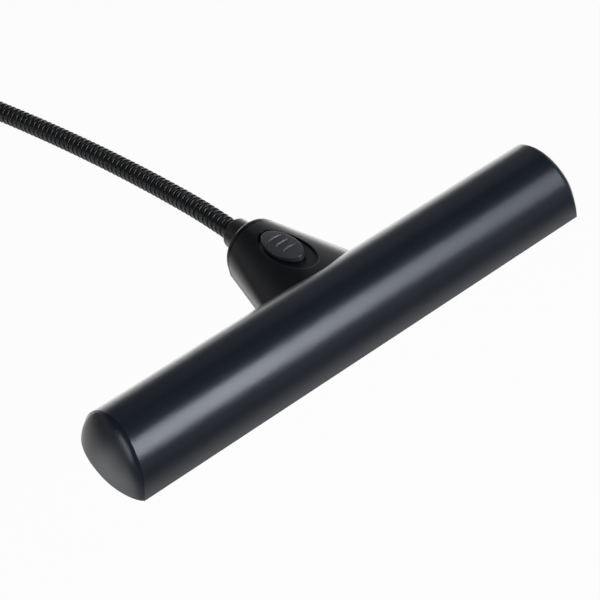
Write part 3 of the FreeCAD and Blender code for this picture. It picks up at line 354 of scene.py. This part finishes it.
# %% [markdown]
# ## The finishes
#
# The lamp is nearly all black, but not one black: the satin head is bluish, the slider is a greyer
# and coarser plastic, and the conduit is painted. The neck gets a darker copy of the head's satin:
# that is painted shade, for the smaller share of light that reaches it. One function makes them
# all from the grain group, so that they differ only in the values that matter. Each piece gets
# its finish by the material slot that the frame's own record names for it.


# %% Material maker
def finish(name, colour, tint, roughness, spread=0.06, grain_scale=2600.0, patch_scale=60.0,
           bump=0.05, **shader_values):
    """A material whose colour, roughness and height come from the grain group."""
    material = bpy.data.materials.new(name)
    material.use_nodes = True
    tree = material.node_tree
    shader = tree.nodes["Principled BSDF"]
    group = tree.nodes.new("ShaderNodeGroup")
    group.node_tree = grain
    for socket, value in (("Colour", (*colour, 1.0)), ("Tint", (*tint, 1.0)),
                          ("Roughness", roughness), ("Spread", spread),
                          ("Grain Scale", grain_scale), ("Patch Scale", patch_scale)):
        group.inputs[socket].default_value = value
    relief = add(tree, "ShaderNodeBump", Strength=bump, Distance=0.1 * MM)
    feed(tree, group.outputs["Colour"], shader.inputs["Base Color"])
    feed(tree, group.outputs["Roughness"], shader.inputs["Roughness"])
    feed(tree, group.outputs["Height"], relief.inputs["Height"])
    feed(tree, relief.outputs["Normal"], shader.inputs["Normal"])
    for socket, value in shader_values.items():
        shader.inputs[socket.replace("_", " ")].default_value = value
    return material


def dress(node, material):
    node.data.materials.clear()
    node.data.materials.append(material)


# %% Black finishes
satin = finish("satin_black", (0.0055, 0.0080, 0.0130), (0.0065, 0.0093, 0.0150), 0.30, bump=0.10)
satin_base = finish("base_black", (0.011, 0.0115, 0.014), (0.014, 0.0145, 0.017), 0.38, bump=0.15)
# Painted shade: a darker copy of the satin, for the shade that the neck lies in.
neck_shaded_black = finish("neck_shaded_black", (0.0022, 0.0028, 0.0042), (0.0030, 0.0036, 0.0052), 0.30,
                    bump=0.10)
thumb_black = finish("thumb_black", (0.022, 0.023, 0.028), (0.028, 0.029, 0.034), 0.36, bump=0.6,
                     grain_scale=1700.0)
conduit_black = finish("conduit_black", (0.003, 0.003, 0.0035), (0.005, 0.005, 0.0055), 0.34,
                       bump=0.02)
ferrule_black = finish("ferrule_black", (0.005, 0.005, 0.006), (0.008, 0.008, 0.009), 0.30,
                       bump=0.06)
rubber = finish("grip_rubber", (0.016, 0.016, 0.016), (0.024, 0.024, 0.024), 0.75, bump=0.35,
                grain_scale=1800.0)
insulation = finish("lead_black", (0.02, 0.02, 0.02), (0.03, 0.03, 0.03), 0.5)
component = finish("component_black", (0.015, 0.015, 0.016), (0.02, 0.02, 0.021), 0.25)

# %% Other finishes
frosted = finish("frosted_lens", (0.82, 0.84, 0.85), (0.86, 0.88, 0.88), 0.42, bump=0.2,
                 Transmission_Weight=0.55, IOR=1.49)
white_tray = finish("reflector_white", (0.82, 0.82, 0.80), (0.88, 0.88, 0.86), 0.25)
board_green = finish("board_green", (0.02, 0.13, 0.06), (0.03, 0.17, 0.08), 0.35,
                     patch_scale=300.0)
phosphor = finish("led_phosphor", (0.80, 0.66, 0.16), (0.86, 0.72, 0.22), 0.5)
cell_sleeve = finish("cell_sleeve", (0.16, 0.17, 0.19), (0.20, 0.21, 0.23), 0.28, Metallic=0.4)
nickel = finish("nickel", (0.62, 0.60, 0.56), (0.70, 0.68, 0.63), 0.3, Metallic=1.0,
                grain_scale=900.0)
zinc = finish("zinc_plate", (0.46, 0.47, 0.49), (0.56, 0.57, 0.58), 0.34, Metallic=1.0,
              grain_scale=1200.0)

# %% Give each piece its finish
by_slot = {"head_black": satin, "base_black": satin_base, "thumb": thumb_black,
           "gooseneck": conduit_black, "ferrule": ferrule_black, "lens": frosted,
           "reflector": white_tray, "circuit_board": board_green, "led": phosphor,
           "grip_rubber": rubber, "cell": cell_sleeve, "contact": nickel, "steel": zinc,
           "lead": insulation, "component_black": component}
for part in frame["record"]["subparts"]:
    dress(nodes[part["node"]], by_slot[part["material_slot"]])
# Painted shade: the neck housing wears the darker copy of the satin.
dress(nodes["neck_housing"], neck_shaded_black)
print("finishes:", len(by_slot) + 1)

# %% [markdown]
# ## The rim's painted highlight
#
# The neck ends in a ring whose rounded rear edge mirrors the pale back as one thin light line.
# That line is a painted highlight: lighter colour in the ring's material. It could be a strip of
# its own, but it is a mask in the material instead. The mask runs along the neck's axis, in
# object coordinates: it lightens the last millimetre before the rear face and leaves the rest of
# the ring as it was. A second mask fades it down the sides. The ring's own black is the neck's
# darker copy of the satin, which is painted shade.

# %% Where the neck lies
pitch = math.radians(19.34)
neck_length = 0.05206
rim_axis = Vector((0, math.cos(pitch), -math.sin(pitch)))
rim_up = Vector((0, math.sin(pitch), math.cos(pitch)))
head_in_ring = nodes["neck_end_ring"].matrix_world.inverted() @ head
rim_start = rim_axis.dot(head_in_ring) + neck_length
rim_floor = rim_up.dot(head_in_ring)
print("rim at %.2f mm" % (rim_start / MM))

# %% Rim
highlight_begins = 0.00095
highlight_is_full = 0.00055
sides_end = 0.0180
crown_starts = 0.0195
# Painted highlight: the light colour on the ring's rear edge, standing in for a reflection.
highlight_colour = (0.30, 0.305, 0.31, 1.0)

# Painted shade: the ring's base is the neck's darker copy of the satin.
rim_shaded_black = finish("rim_shaded_black", (0.0022, 0.0028, 0.0042), (0.0030, 0.0036, 0.0052), 0.26,
                   bump=0.06)
tree = rim_shaded_black.node_tree
shader = tree.nodes["Principled BSDF"]
place = add(tree, "ShaderNodeTexCoord")
masks = []
for axis, start, end in ((rim_axis, rim_start - highlight_begins, rim_start - highlight_is_full),
                         (rim_up, rim_floor + sides_end, rim_floor + crown_starts)):
    reached = add(tree, "ShaderNodeVectorMath", operation="DOT_PRODUCT")
    feed(tree, place.outputs["Object"], reached.inputs[0])
    feed(tree, axis, reached.inputs[1])
    masks.append(ease(tree, reached.outputs["Value"], start, end, 0.0, 1.0))
# Mask of the painted highlight: the last millimetre of the ring, faded down the sides.
highlight_mask = calculate(tree, "MULTIPLY", *masks)
plain = shader.inputs["Base Color"].links[0].from_socket
lightened = mix_colours(tree, highlight_mask, plain, highlight_colour)
feed(tree, lightened, shader.inputs["Base Color"])
dress(nodes["neck_end_ring"], rim_shaded_black)
# Width of the painted highlight band.
print("painted highlight %.2f mm wide" % (highlight_begins / MM))

# %% [markdown]
# ## The end caps
#
# Each end is closed by a soft cap. Its face swells outwards in the middle and rolls over into
# the rim without a flat or a crease, so its light runs in long gradients and ends in a dark
# edge against the shell. A rounded solid would show where its fillet starts. Here the height
# over the end plane is a power of the distance to the rim, which has no such line, and the
# powers change along the rim: the front corner is crisp and the crown is round.

# %% Cap shape
end_lean = math.tan(math.radians(10.75))
half_length = 0.09965
rim_y = 0.01784
rim_z = 0.02163
swell = 0.00568
cap_seat = 0.00005
crown_degrees = (10, 50)
rear_degrees = (110, 165)
inner_powers = (2.0, 0.4, 0.1)
outer_powers = (0.75, -0.15, 0.05)


def smoothstep(value, start, end):
    share = min(1.0, max(0.0, (value - start) / (end - start)))
    return share * share * (3 - 2 * share)


def cap_powers(degrees):
    """Inner and outer power at a place on the rim, counted from the front corner."""
    crown = smoothstep(degrees, *crown_degrees)
    rear = smoothstep(degrees, *rear_degrees)
    return [corner + on_crown * crown + at_rear * rear
            for corner, on_crown, at_rear in (inner_powers, outer_powers)]


def cap_point(side, degrees, share):
    angle = math.radians(degrees)
    inner, outer = cap_powers(degrees)
    y = -rim_y * share * math.cos(angle)
    z = rim_z * share * math.sin(angle)
    height = swell * max(0.0, 1 - share ** inner) ** outer
    return (side * (half_length - end_lean * z + cap_seat + height), y, z)


print("cap powers at the crown: %.2f and %.2f" % tuple(cap_powers(90)))

# %% Cap mesh
cap_columns = 96
cap_rows = 36
cap_crease = math.radians(40)


def end_cap(name, side):
    """Rows of points from the rim to the middle, closed behind and below by two flat faces."""
    shares = [1 - (row / cap_rows) ** 2 for row in range(cap_rows)]
    points = [cap_point(side, 180 * k / cap_columns, share)
              for share in shares for k in range(cap_columns + 1)]
    points.append(cap_point(side, 90, 0.0))
    width = cap_columns + 1
    faces = []
    for row in range(cap_rows - 1):
        for k in range(cap_columns):
            a = row * width + k
            faces.append((a, a + 1, a + width + 1, a + width))
    last = (cap_rows - 1) * width
    middle = len(points) - 1
    faces += [(last + k, last + k + 1, middle) for k in range(cap_columns)]
    faces.append(tuple(range(cap_columns, -1, -1)))
    front_edge = [row * width for row in range(cap_rows)]
    rear_edge = [row * width + cap_columns for row in range(cap_rows)]
    faces.append(tuple(front_edge + [middle] + rear_edge[::-1]))
    if side > 0:
        faces = [tuple(reversed(face)) for face in faces]
    cap = make_object(name, points, faces)
    cap.location = head
    cap.data.set_sharp_from_angle(angle=cap_crease)
    return cap


for name, side in (("end_cap_left", -1), ("end_cap_right", 1)):
    cap = end_cap(name.replace("end_cap", "soft_cap"), side)
    cap.data.materials.append(satin)
    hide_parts(name)
    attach(cap, "head")
    print(cap.name, "faces", len(cap.data.polygons))

# %% [markdown]
# ## The thumb slider
#
# The slider is a low oval pad. Its rim is rolled, and three curved ribs give the thumb a grip.
# The ribs are less than a millimetre high, but their round tops catch the softbox as fine
# bright lines, and a bump texture has no such tops. So the top is modelled as a dense sheet
# whose height is computed point by point. The sheet's square grid is pressed into the oval,
# so it has no pole in the middle.

# %% Slider sizes
slider_centre = 0.02921
slider_length = 0.01156
slider_width = 0.0053
slider_top = 0.02082
slider_low = 0.0182
slider_rim = 0.0005
slider_crown = 0.0004
rib_step = 0.0047
rib_shift = 0.0006
rib_radius = 0.0090
rib_reach = 0.0033
rib_fade = 0.0006
rib_rise = 0.0007
rib_half_width = 0.00045
rib_roundness = 0.75
middle_guard = 0.01
print("slider %.1f by %.1f mm" % (2 * slider_length / MM, 2 * slider_width / MM))


# %% Slider height
def neck_to_head(x, s, z):
    """From the neck's frame, which is pitched down, to the head's frame."""
    y = s * math.cos(pitch) + z * math.sin(pitch)
    return Vector((x, y, -s * math.sin(pitch) + z * math.cos(pitch)))


def rib_height(x, s):
    """Three ribs, each an arc across the slider with a round top and faded ends."""
    height = 0.0
    for k in (-1, 0, 1):
        centre = slider_centre + rib_shift + k * rib_step - rib_radius
        off = math.hypot(x, s - centre) - rib_radius
        ends = 1 - smoothstep(abs(x), rib_reach - rib_fade, rib_reach)
        height += rib_rise * ends * max(0.0, 1 - (off / rib_half_width) ** 2) ** rib_roundness
    return height


def slider_point(u, v):
    """A point of the top from a square grid, both of whose coordinates run from -1 to 1."""
    across = u * math.sqrt(1 - v * v / 2)
    lengthways = v * math.sqrt(1 - u * u / 2)
    x = slider_width * across
    s = slider_centre + slider_length * lengthways
    radius = math.hypot(across, lengthways)
    slope = math.hypot(across / slider_width, lengthways / slider_length)
    to_rim = 1.0 if radius < middle_guard else (1 - radius) * radius / slope
    inward = max(0.0, 1 - to_rim / slider_rim)
    rolled = slider_rim * (1 - math.sqrt(max(0.0, 1 - inward * inward)))
    crown = slider_crown * (1 - radius * radius)
    return x, s, slider_top - slider_crown - rolled + crown + rib_height(x, s)


print("middle rib's top at %.2f mm" % (slider_point(0.0, rib_shift / slider_length)[2] / MM))

# %% Slider sheet
across_cells = 56
along_cells = 132
crowding = 0.35
slider_crease = math.radians(50)


def crowded(k, cells):
    """Grid lines drawn closer together towards both ends, where the rim rolls over."""
    even = 2 * k / cells - 1
    return math.sin(even * math.pi / 2) * crowding + even * (1 - crowding)


def slider_sheet(name):
    """The top's grid, then a wall straight down from its edge, then one face below."""
    grid = [slider_point(crowded(i, across_cells), crowded(j, along_cells))
            for j in range(along_cells + 1) for i in range(across_cells + 1)]
    width = across_cells + 1
    faces = [(j * width + i, j * width + i + 1, (j + 1) * width + i + 1, (j + 1) * width + i)
             for j in range(along_cells) for i in range(across_cells)]
    edge = list(range(width))
    edge += [j * width + across_cells for j in range(1, along_cells + 1)]
    edge += [along_cells * width + i for i in range(across_cells - 1, -1, -1)]
    edge += [j * width for j in range(along_cells - 1, 0, -1)]
    points = [neck_to_head(x, s, z) for x, s, z in grid]
    points += [neck_to_head(*grid[index][:2], slider_low) for index in edge]
    base = len(grid)
    count = len(edge)
    for k in range(count):
        faces.append((edge[k], base + k, base + (k + 1) % count, edge[(k + 1) % count]))
    faces.append(tuple(base + k for k in range(count - 1, -1, -1)))
    return make_object(name, points, faces)


slider = slider_sheet("thumb_pad")
slider.location = head
slider.data.set_sharp_from_angle(angle=slider_crease)
slider.data.materials.append(thumb_black)
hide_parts("thumb_slider")
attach(slider, "switch")
print("slider faces", len(slider.data.polygons))

# %% [markdown]
# ## The gooseneck's centre line
#
# The gooseneck leaves the neck in a wide gentle arc, comes down in a smaller one, and runs
# straight into the base. A curve object could follow that course, but the pieces have to be
# cut and bent at exact places. So the line is a function, the same as the solids' own, that
# gives the point and the direction at any length along it.

# %% The centre line
roll = math.radians(70.0)
sweep_radius = 0.728
sweep_angle = math.radians(13.85)
drop_radius = 0.095
axis_height = 0.01094
boss_top_z = 0.0655

along = neck_to_head(0, 1, 0)
neck_up = neck_to_head(0, 0, 1)
down = Vector((0, 0, -1))
sweep_normal = Vector((1, 0, 0)) * -math.sin(roll) + neck_up * math.cos(roll)
start_point = head + neck_to_head(0, neck_length, axis_height)


def on_arc(start, direction, normal, radius, angle):
    point = start + direction * (radius * math.sin(angle))
    point = point + normal * (radius * (1 - math.cos(angle)))
    return point, direction * math.cos(angle) + normal * math.sin(angle)


sweep_end, sweep_end_dir = on_arc(start_point, along, sweep_normal, sweep_radius, sweep_angle)
drop_angle = sweep_end_dir.angle(down)
drop_normal = (down - sweep_end_dir * sweep_end_dir.dot(down)).normalized()
drop_end, _ = on_arc(sweep_end, sweep_end_dir, drop_normal, drop_radius, drop_angle)
sweep_length = sweep_radius * sweep_angle
drop_length = drop_radius * drop_angle
path_length = sweep_length + drop_length + (drop_end.z - boss_top_z)


def path_at(s):
    """Point and direction on the centre line, s metres from the neck's rear face."""
    if s <= 0:
        return start_point + along * s, along
    if s <= sweep_length:
        return on_arc(start_point, along, sweep_normal, sweep_radius, s / sweep_radius)
    if s <= sweep_length + drop_length:
        return on_arc(sweep_end, sweep_end_dir, drop_normal, drop_radius,
                      (s - sweep_length) / drop_radius)
    return drop_end + down * (s - sweep_length - drop_length), down


print("centre line %.1f mm" % (path_length / MM))

# %% [markdown]
# ## The gooseneck's hinges
#
# A real gooseneck bends everywhere a little. The frame bends it at thirteen hinges, between
# rigid lengths of eight ribs each. Their places along the line follow from the rib pitch, and
# the frame's own joints show whether that sum is right.

# %% Where the hinges lie on it
rib_pitch = 0.0029
ribs_per_link = 8
ribs_at_base = 4
link_count = 12
joint_gap = 0.00122
joint_step = ribs_per_link * rib_pitch + joint_gap
base_sleeve = 0.007
joint_s = [path_length - base_sleeve - ribs_at_base * rib_pitch - joint_gap / 2 - k * joint_step
           for k in range(link_count + 1)]
bend_joints = [j for j in frame["joints"] if j["name"].startswith("gooseneck_bend")]
off = max((path_at(s)[0] - Vector(j["pos_m"])).length for s, j in zip(joint_s, bend_joints))
print("hinges %d, furthest from the line %.4f mm" % (len(bend_joints), off / MM))

# %% [markdown]
# ## The gooseneck's ribs
#
# Real gooseneck is two wires wound round each other: a round spring, and a lower wire that
# fills its groove. So the outside shows tall round ribs with a small one between them, which
# climb as a helix. A bump texture would leave the outline smooth, where the picture shows
# teeth, so the ribs are geometry. Rows of points run along the helix itself, which keeps
# each rib crisp with few faces. Near the neck the whole hangs a little lower than its line.

# %% Rib profile
crest = 0.00421
filler_crest = 0.00388
valley = 0.00345
wire_share = 0.56
wire_rows = 8
filler_rows = 6
wire_roundness = 0.8


def rib_profile():
    """Shares of one pitch with their radii: the round wire, then the lower filler wire."""
    profile = []
    for start, share, top, rows in ((0.0, wire_share, crest, wire_rows),
                                    (wire_share, 1 - wire_share, filler_crest, filler_rows)):
        for k in range(rows):
            turn = math.pi * k / rows
            radius = valley + (top - valley) * math.sin(turn) ** wire_roundness
            profile.append((start + share * (1 - math.cos(turn)) / 2, radius))
    return profile


shape_of_rib = rib_profile()
print("rows in one turn:", len(shape_of_rib))

# %% Ribs along the helix
steps_round = 48
steady = Vector((1, 0, 0))
root_sag = 0.00095
sag_holds_to = 0.008
sag_ends_at = 0.040
same_point = 0.00001


def sag_at(s):
    """The gooseneck hangs a little lower at its root than its mean line, and joins it again."""
    return neck_up * -root_sag * (1 - smoothstep(s, sag_holds_to, sag_ends_at))


def ring_point(s, angle, radius):
    point, direction = path_at(s)
    point = point + sag_at(s)
    side = (steady - direction * steady.dot(direction)).normalized()
    other = direction.cross(side)
    return point + (side * math.cos(angle) + other * math.sin(angle)) * radius


def ribbed(name, first_turn, last_turn, origin_s):
    """Helical ribs between two turns, numbered from the head end, as one open tube."""
    rows = [(turn + share, radius) for turn in range(first_turn, last_turn)
            for share, radius in shape_of_rib]
    rows.append((last_turn + shape_of_rib[0][0], shape_of_rib[0][1]))
    points = []
    for turns, radius in rows:
        for k in range(steps_round + 1):
            part_turn = k / steps_round
            s = origin_s + (turns + part_turn) * rib_pitch
            points.append(ring_point(s, part_turn * 2 * math.pi, radius))
    width = steps_round + 1
    faces = []
    for r in range(len(rows) - 1):
        for k in range(steps_round):
            a = r * width + k
            faces.append((a, a + 1, a + 1 + width, a + width))
    return make_object(name, points, faces)


def close_seam(obj):
    """The last column of one turn is the first of the next, so those points are joined."""
    work = bmesh.new()
    work.from_mesh(obj.data)
    bmesh.ops.remove_doubles(work, verts=work.verts, dist=same_point)
    work.normal_update()
    work.to_mesh(obj.data)
    work.free()
    obj.data.shade_smooth()


print("sag at the root %.2f mm" % (root_sag / MM))

# %% [markdown]
# ## The gooseneck's pieces
#
# The tube could be one mesh with a bend at every hinge, but each piece may bend between two
# bodies only. So it is cut halfway along each rigid length, where nothing bends, and every
# piece bends across one hinge. Neighbours end in the same row of points, so no seam shows and
# none opens.

# %% Gooseneck pieces
tube_start = 0.0057
into_base = 0.0034
turns_total = int((path_length - base_sleeve + into_base - tube_start) / rib_pitch)
cuts = [turns_total]
for k in range(link_count):
    middle = (joint_s[k] + joint_s[k + 1]) / 2
    cuts.append(int(round((middle - tube_start) / rib_pitch - 0.5)))
cuts.append(0)
for k, s in enumerate(joint_s):
    piece = ribbed("gooseneck_ribs_%02d" % (k + 1), cuts[k + 1], cuts[k], tube_start)
    close_seam(piece)
    piece.data.materials.append(conduit_black)
    covered = ["gooseneck_base_end"] if k == 0 else []
    covered.append("gooseneck_link_%02d" % (k + 1) if k < link_count else "gooseneck_head_end")
    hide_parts(*covered)
    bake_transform(piece)
print("gooseneck turns", turns_total)

# %% [markdown]
# ## The ferrule
#
# The gooseneck enters the neck through a turned ferrule. Only its collar shows. A lathe makes
# the real one, and a cylinder with a bevel would come close, but it is simplest to turn it
# here too: from one profile, with a small radius on its rear edge and the socket the ribs go
# into. Its collar follows the gooseneck's root, which hangs a little lower than the thread.

# %% Ferrule profile
collar_radius = 0.0063
collar_length = 0.0107
collar_edge = 0.0004
edge_steps = 6
thread_radius = 0.0038
thread_reach = 0.0098
bore_radius = 0.00175
socket_radius = 0.0036
socket_start = 0.0053


def collar_profile():
    """Places along the neck's axis, from the neck's rear face, with their radii."""
    profile = [(-thread_reach, bore_radius), (-thread_reach, thread_radius), (0.0, thread_radius),
               (0.0, collar_radius)]
    for k in range(edge_steps + 1):
        turn = math.pi / 2 * k / edge_steps
        profile.append((collar_length - collar_edge * (1 - math.sin(turn)),
                        collar_radius - collar_edge * (1 - math.cos(turn))))
    profile += [(collar_length, socket_radius), (socket_start, socket_radius),
                (socket_start, bore_radius)]
    return profile


print("collar %.1f by %.1f mm" % (2 * collar_radius / MM, collar_length / MM))

# %% Ferrule
collar_cells = 96
collar_crease = math.radians(35)


def turn_profile(name, profile):
    """A closed profile turned round the neck's axis. Its collar is lowered with the root."""
    points = []
    for s, radius in profile:
        point, direction = path_at(min(s, 0.0))
        point = point + direction * max(s, 0.0)
        if s > 0 or radius > thread_radius:
            point = point + sag_at(0.0)
        other = direction.cross(steady)
        for k in range(collar_cells):
            angle = 2 * math.pi * k / collar_cells
            points.append(point + (steady * math.cos(angle) + other * math.sin(angle)) * radius)
    faces = []
    count = len(profile)
    for r in range(count):
        for k in range(collar_cells):
            a, b = r * collar_cells + k, r * collar_cells + (k + 1) % collar_cells
            c = (r + 1) % count * collar_cells
            faces.append((a, c + k, c + (k + 1) % collar_cells, b))
    return make_object(name, points, faces)


collar = turn_profile("head_collar", collar_profile())
collar.data.set_sharp_from_angle(angle=collar_crease)
collar.data.materials.append(ferrule_black)
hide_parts("head_ferrule")
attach(collar, "head")
print("collar faces", len(collar.data.polygons))

# %% [markdown]
# ## The lead inside
#
# A thin two-core lead runs from the base to the head inside the gooseneck. It is only seen
# where it comes out of the ferrules, and a rigid solid would do there, but it has to bend with
# the rest. So it is made the same way as the ribs: plain round lengths, cut where the ribs are
# cut, each bending across one hinge.

# %% Lead pieces
lead_radius = 0.0013
lead_sides = 20
lead_step = 0.003
lead_past_rear_face = 0.00885


def plain_tube(name, s0, s1, radius):
    count = max(2, int(abs(s1 - s0) / lead_step))
    points = []
    for r in range(count + 1):
        s = s0 + (s1 - s0) * r / count
        points += [ring_point(s, 2 * math.pi * k / lead_sides, radius) for k in range(lead_sides)]
    faces = []
    for r in range(count):
        for k in range(lead_sides):
            a, b = r * lead_sides + k, r * lead_sides + (k + 1) % lead_sides
            faces.append((a, b, b + lead_sides, a + lead_sides))
    faces.append(tuple(reversed(range(lead_sides))))
    faces.append(tuple(range(count * lead_sides, (count + 1) * lead_sides)))
    return make_object(name, points, faces)


lead_low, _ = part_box("inner_lead")
lead_cuts = [path_length + (boss_top_z - lead_low.z)]
lead_cuts += [(joint_s[k] + joint_s[k + 1]) / 2 for k in range(link_count)]
lead_cuts.append(-lead_past_rear_face)
for k, s in enumerate(joint_s):
    piece = plain_tube("lead_length_%02d" % (k + 1), lead_cuts[k + 1], lead_cuts[k], lead_radius)
    piece.data.materials.append(insulation)
    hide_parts("inner_lead")
    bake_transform(piece)
print("lead %.1f mm" % ((lead_cuts[0] - lead_cuts[-1]) / MM))

# %% [markdown]
# ## The jaw's spring
#
# A torsion spring sits on the jaw's pin. One leg stays on the housing and the other presses on
# the lever, so the coil winds up as the jaw opens. A rigid coil would cut through the lever.
# A piece that bends along the pin does what the real one does: each turn takes its share of
# the lever's angle.

# %% Spring sizes
hinge = Vector(next(j for j in frame["joints"] if j["name"] == "jaw_hinge")["pos_m"])
hinge.x = 0.0
wire_radius = 0.0006
coil_radius = 0.0032
coil_pitch = 0.00175
coil_turns = 5.5
coil_end = 2 * math.pi * coil_turns - math.radians(25)
leg_length = 0.012
wire_cells = 14
coil_steps = 200
spring_crease = math.radians(50)


def coil_frame(angle, past=0.0):
    """Point of the wire's centre line, past it by a straight leg, with its two cross directions."""
    outward = Vector((0, math.cos(angle), math.sin(angle)))
    onward = Vector((coil_pitch / (2 * math.pi), -coil_radius * math.sin(angle),
                     coil_radius * math.cos(angle))).normalized()
    x = coil_pitch * (angle / (2 * math.pi) - coil_turns / 2)
    point = hinge + Vector((x, 0, 0)) + outward * coil_radius + onward * past
    return point, outward, onward.cross(outward)


print("coil turns %.2f" % (coil_end / (2 * math.pi)))

# %% Spring
stations = [coil_frame(0.0, -leg_length)]
stations += [coil_frame(coil_end * k / coil_steps) for k in range(coil_steps + 1)]
stations.append(coil_frame(coil_end, leg_length))
wire_points = []
for point, outward, aside in stations:
    for k in range(wire_cells):
        angle = 2 * math.pi * k / wire_cells
        across = outward * math.cos(angle) + aside * math.sin(angle)
        wire_points.append(point + across * wire_radius)
last_ring = len(wire_points) - wire_cells
wire_faces = [tuple(range(wire_cells)), tuple(last_ring + k for k in reversed(range(wire_cells)))]
for r in range(len(stations) - 1):
    for k in range(wire_cells):
        a, b = r * wire_cells + k, r * wire_cells + (k + 1) % wire_cells
        wire_faces.append((a, a + wire_cells, b + wire_cells, b))
spring = make_object("torsion_spring", wire_points, wire_faces)
spring.data.set_sharp_from_angle(angle=spring_crease)
spring.data.materials.append(zinc)
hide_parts("jaw_spring")
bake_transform(spring)
spring_low, spring_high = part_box("jaw_spring")
corners = [spring.matrix_world @ Vector(c) for c in spring.bound_box]
print("spring corners off %.3f mm" % (max((corners[0] - spring_low).length,
                                          (corners[6] - spring_high).length) / MM))
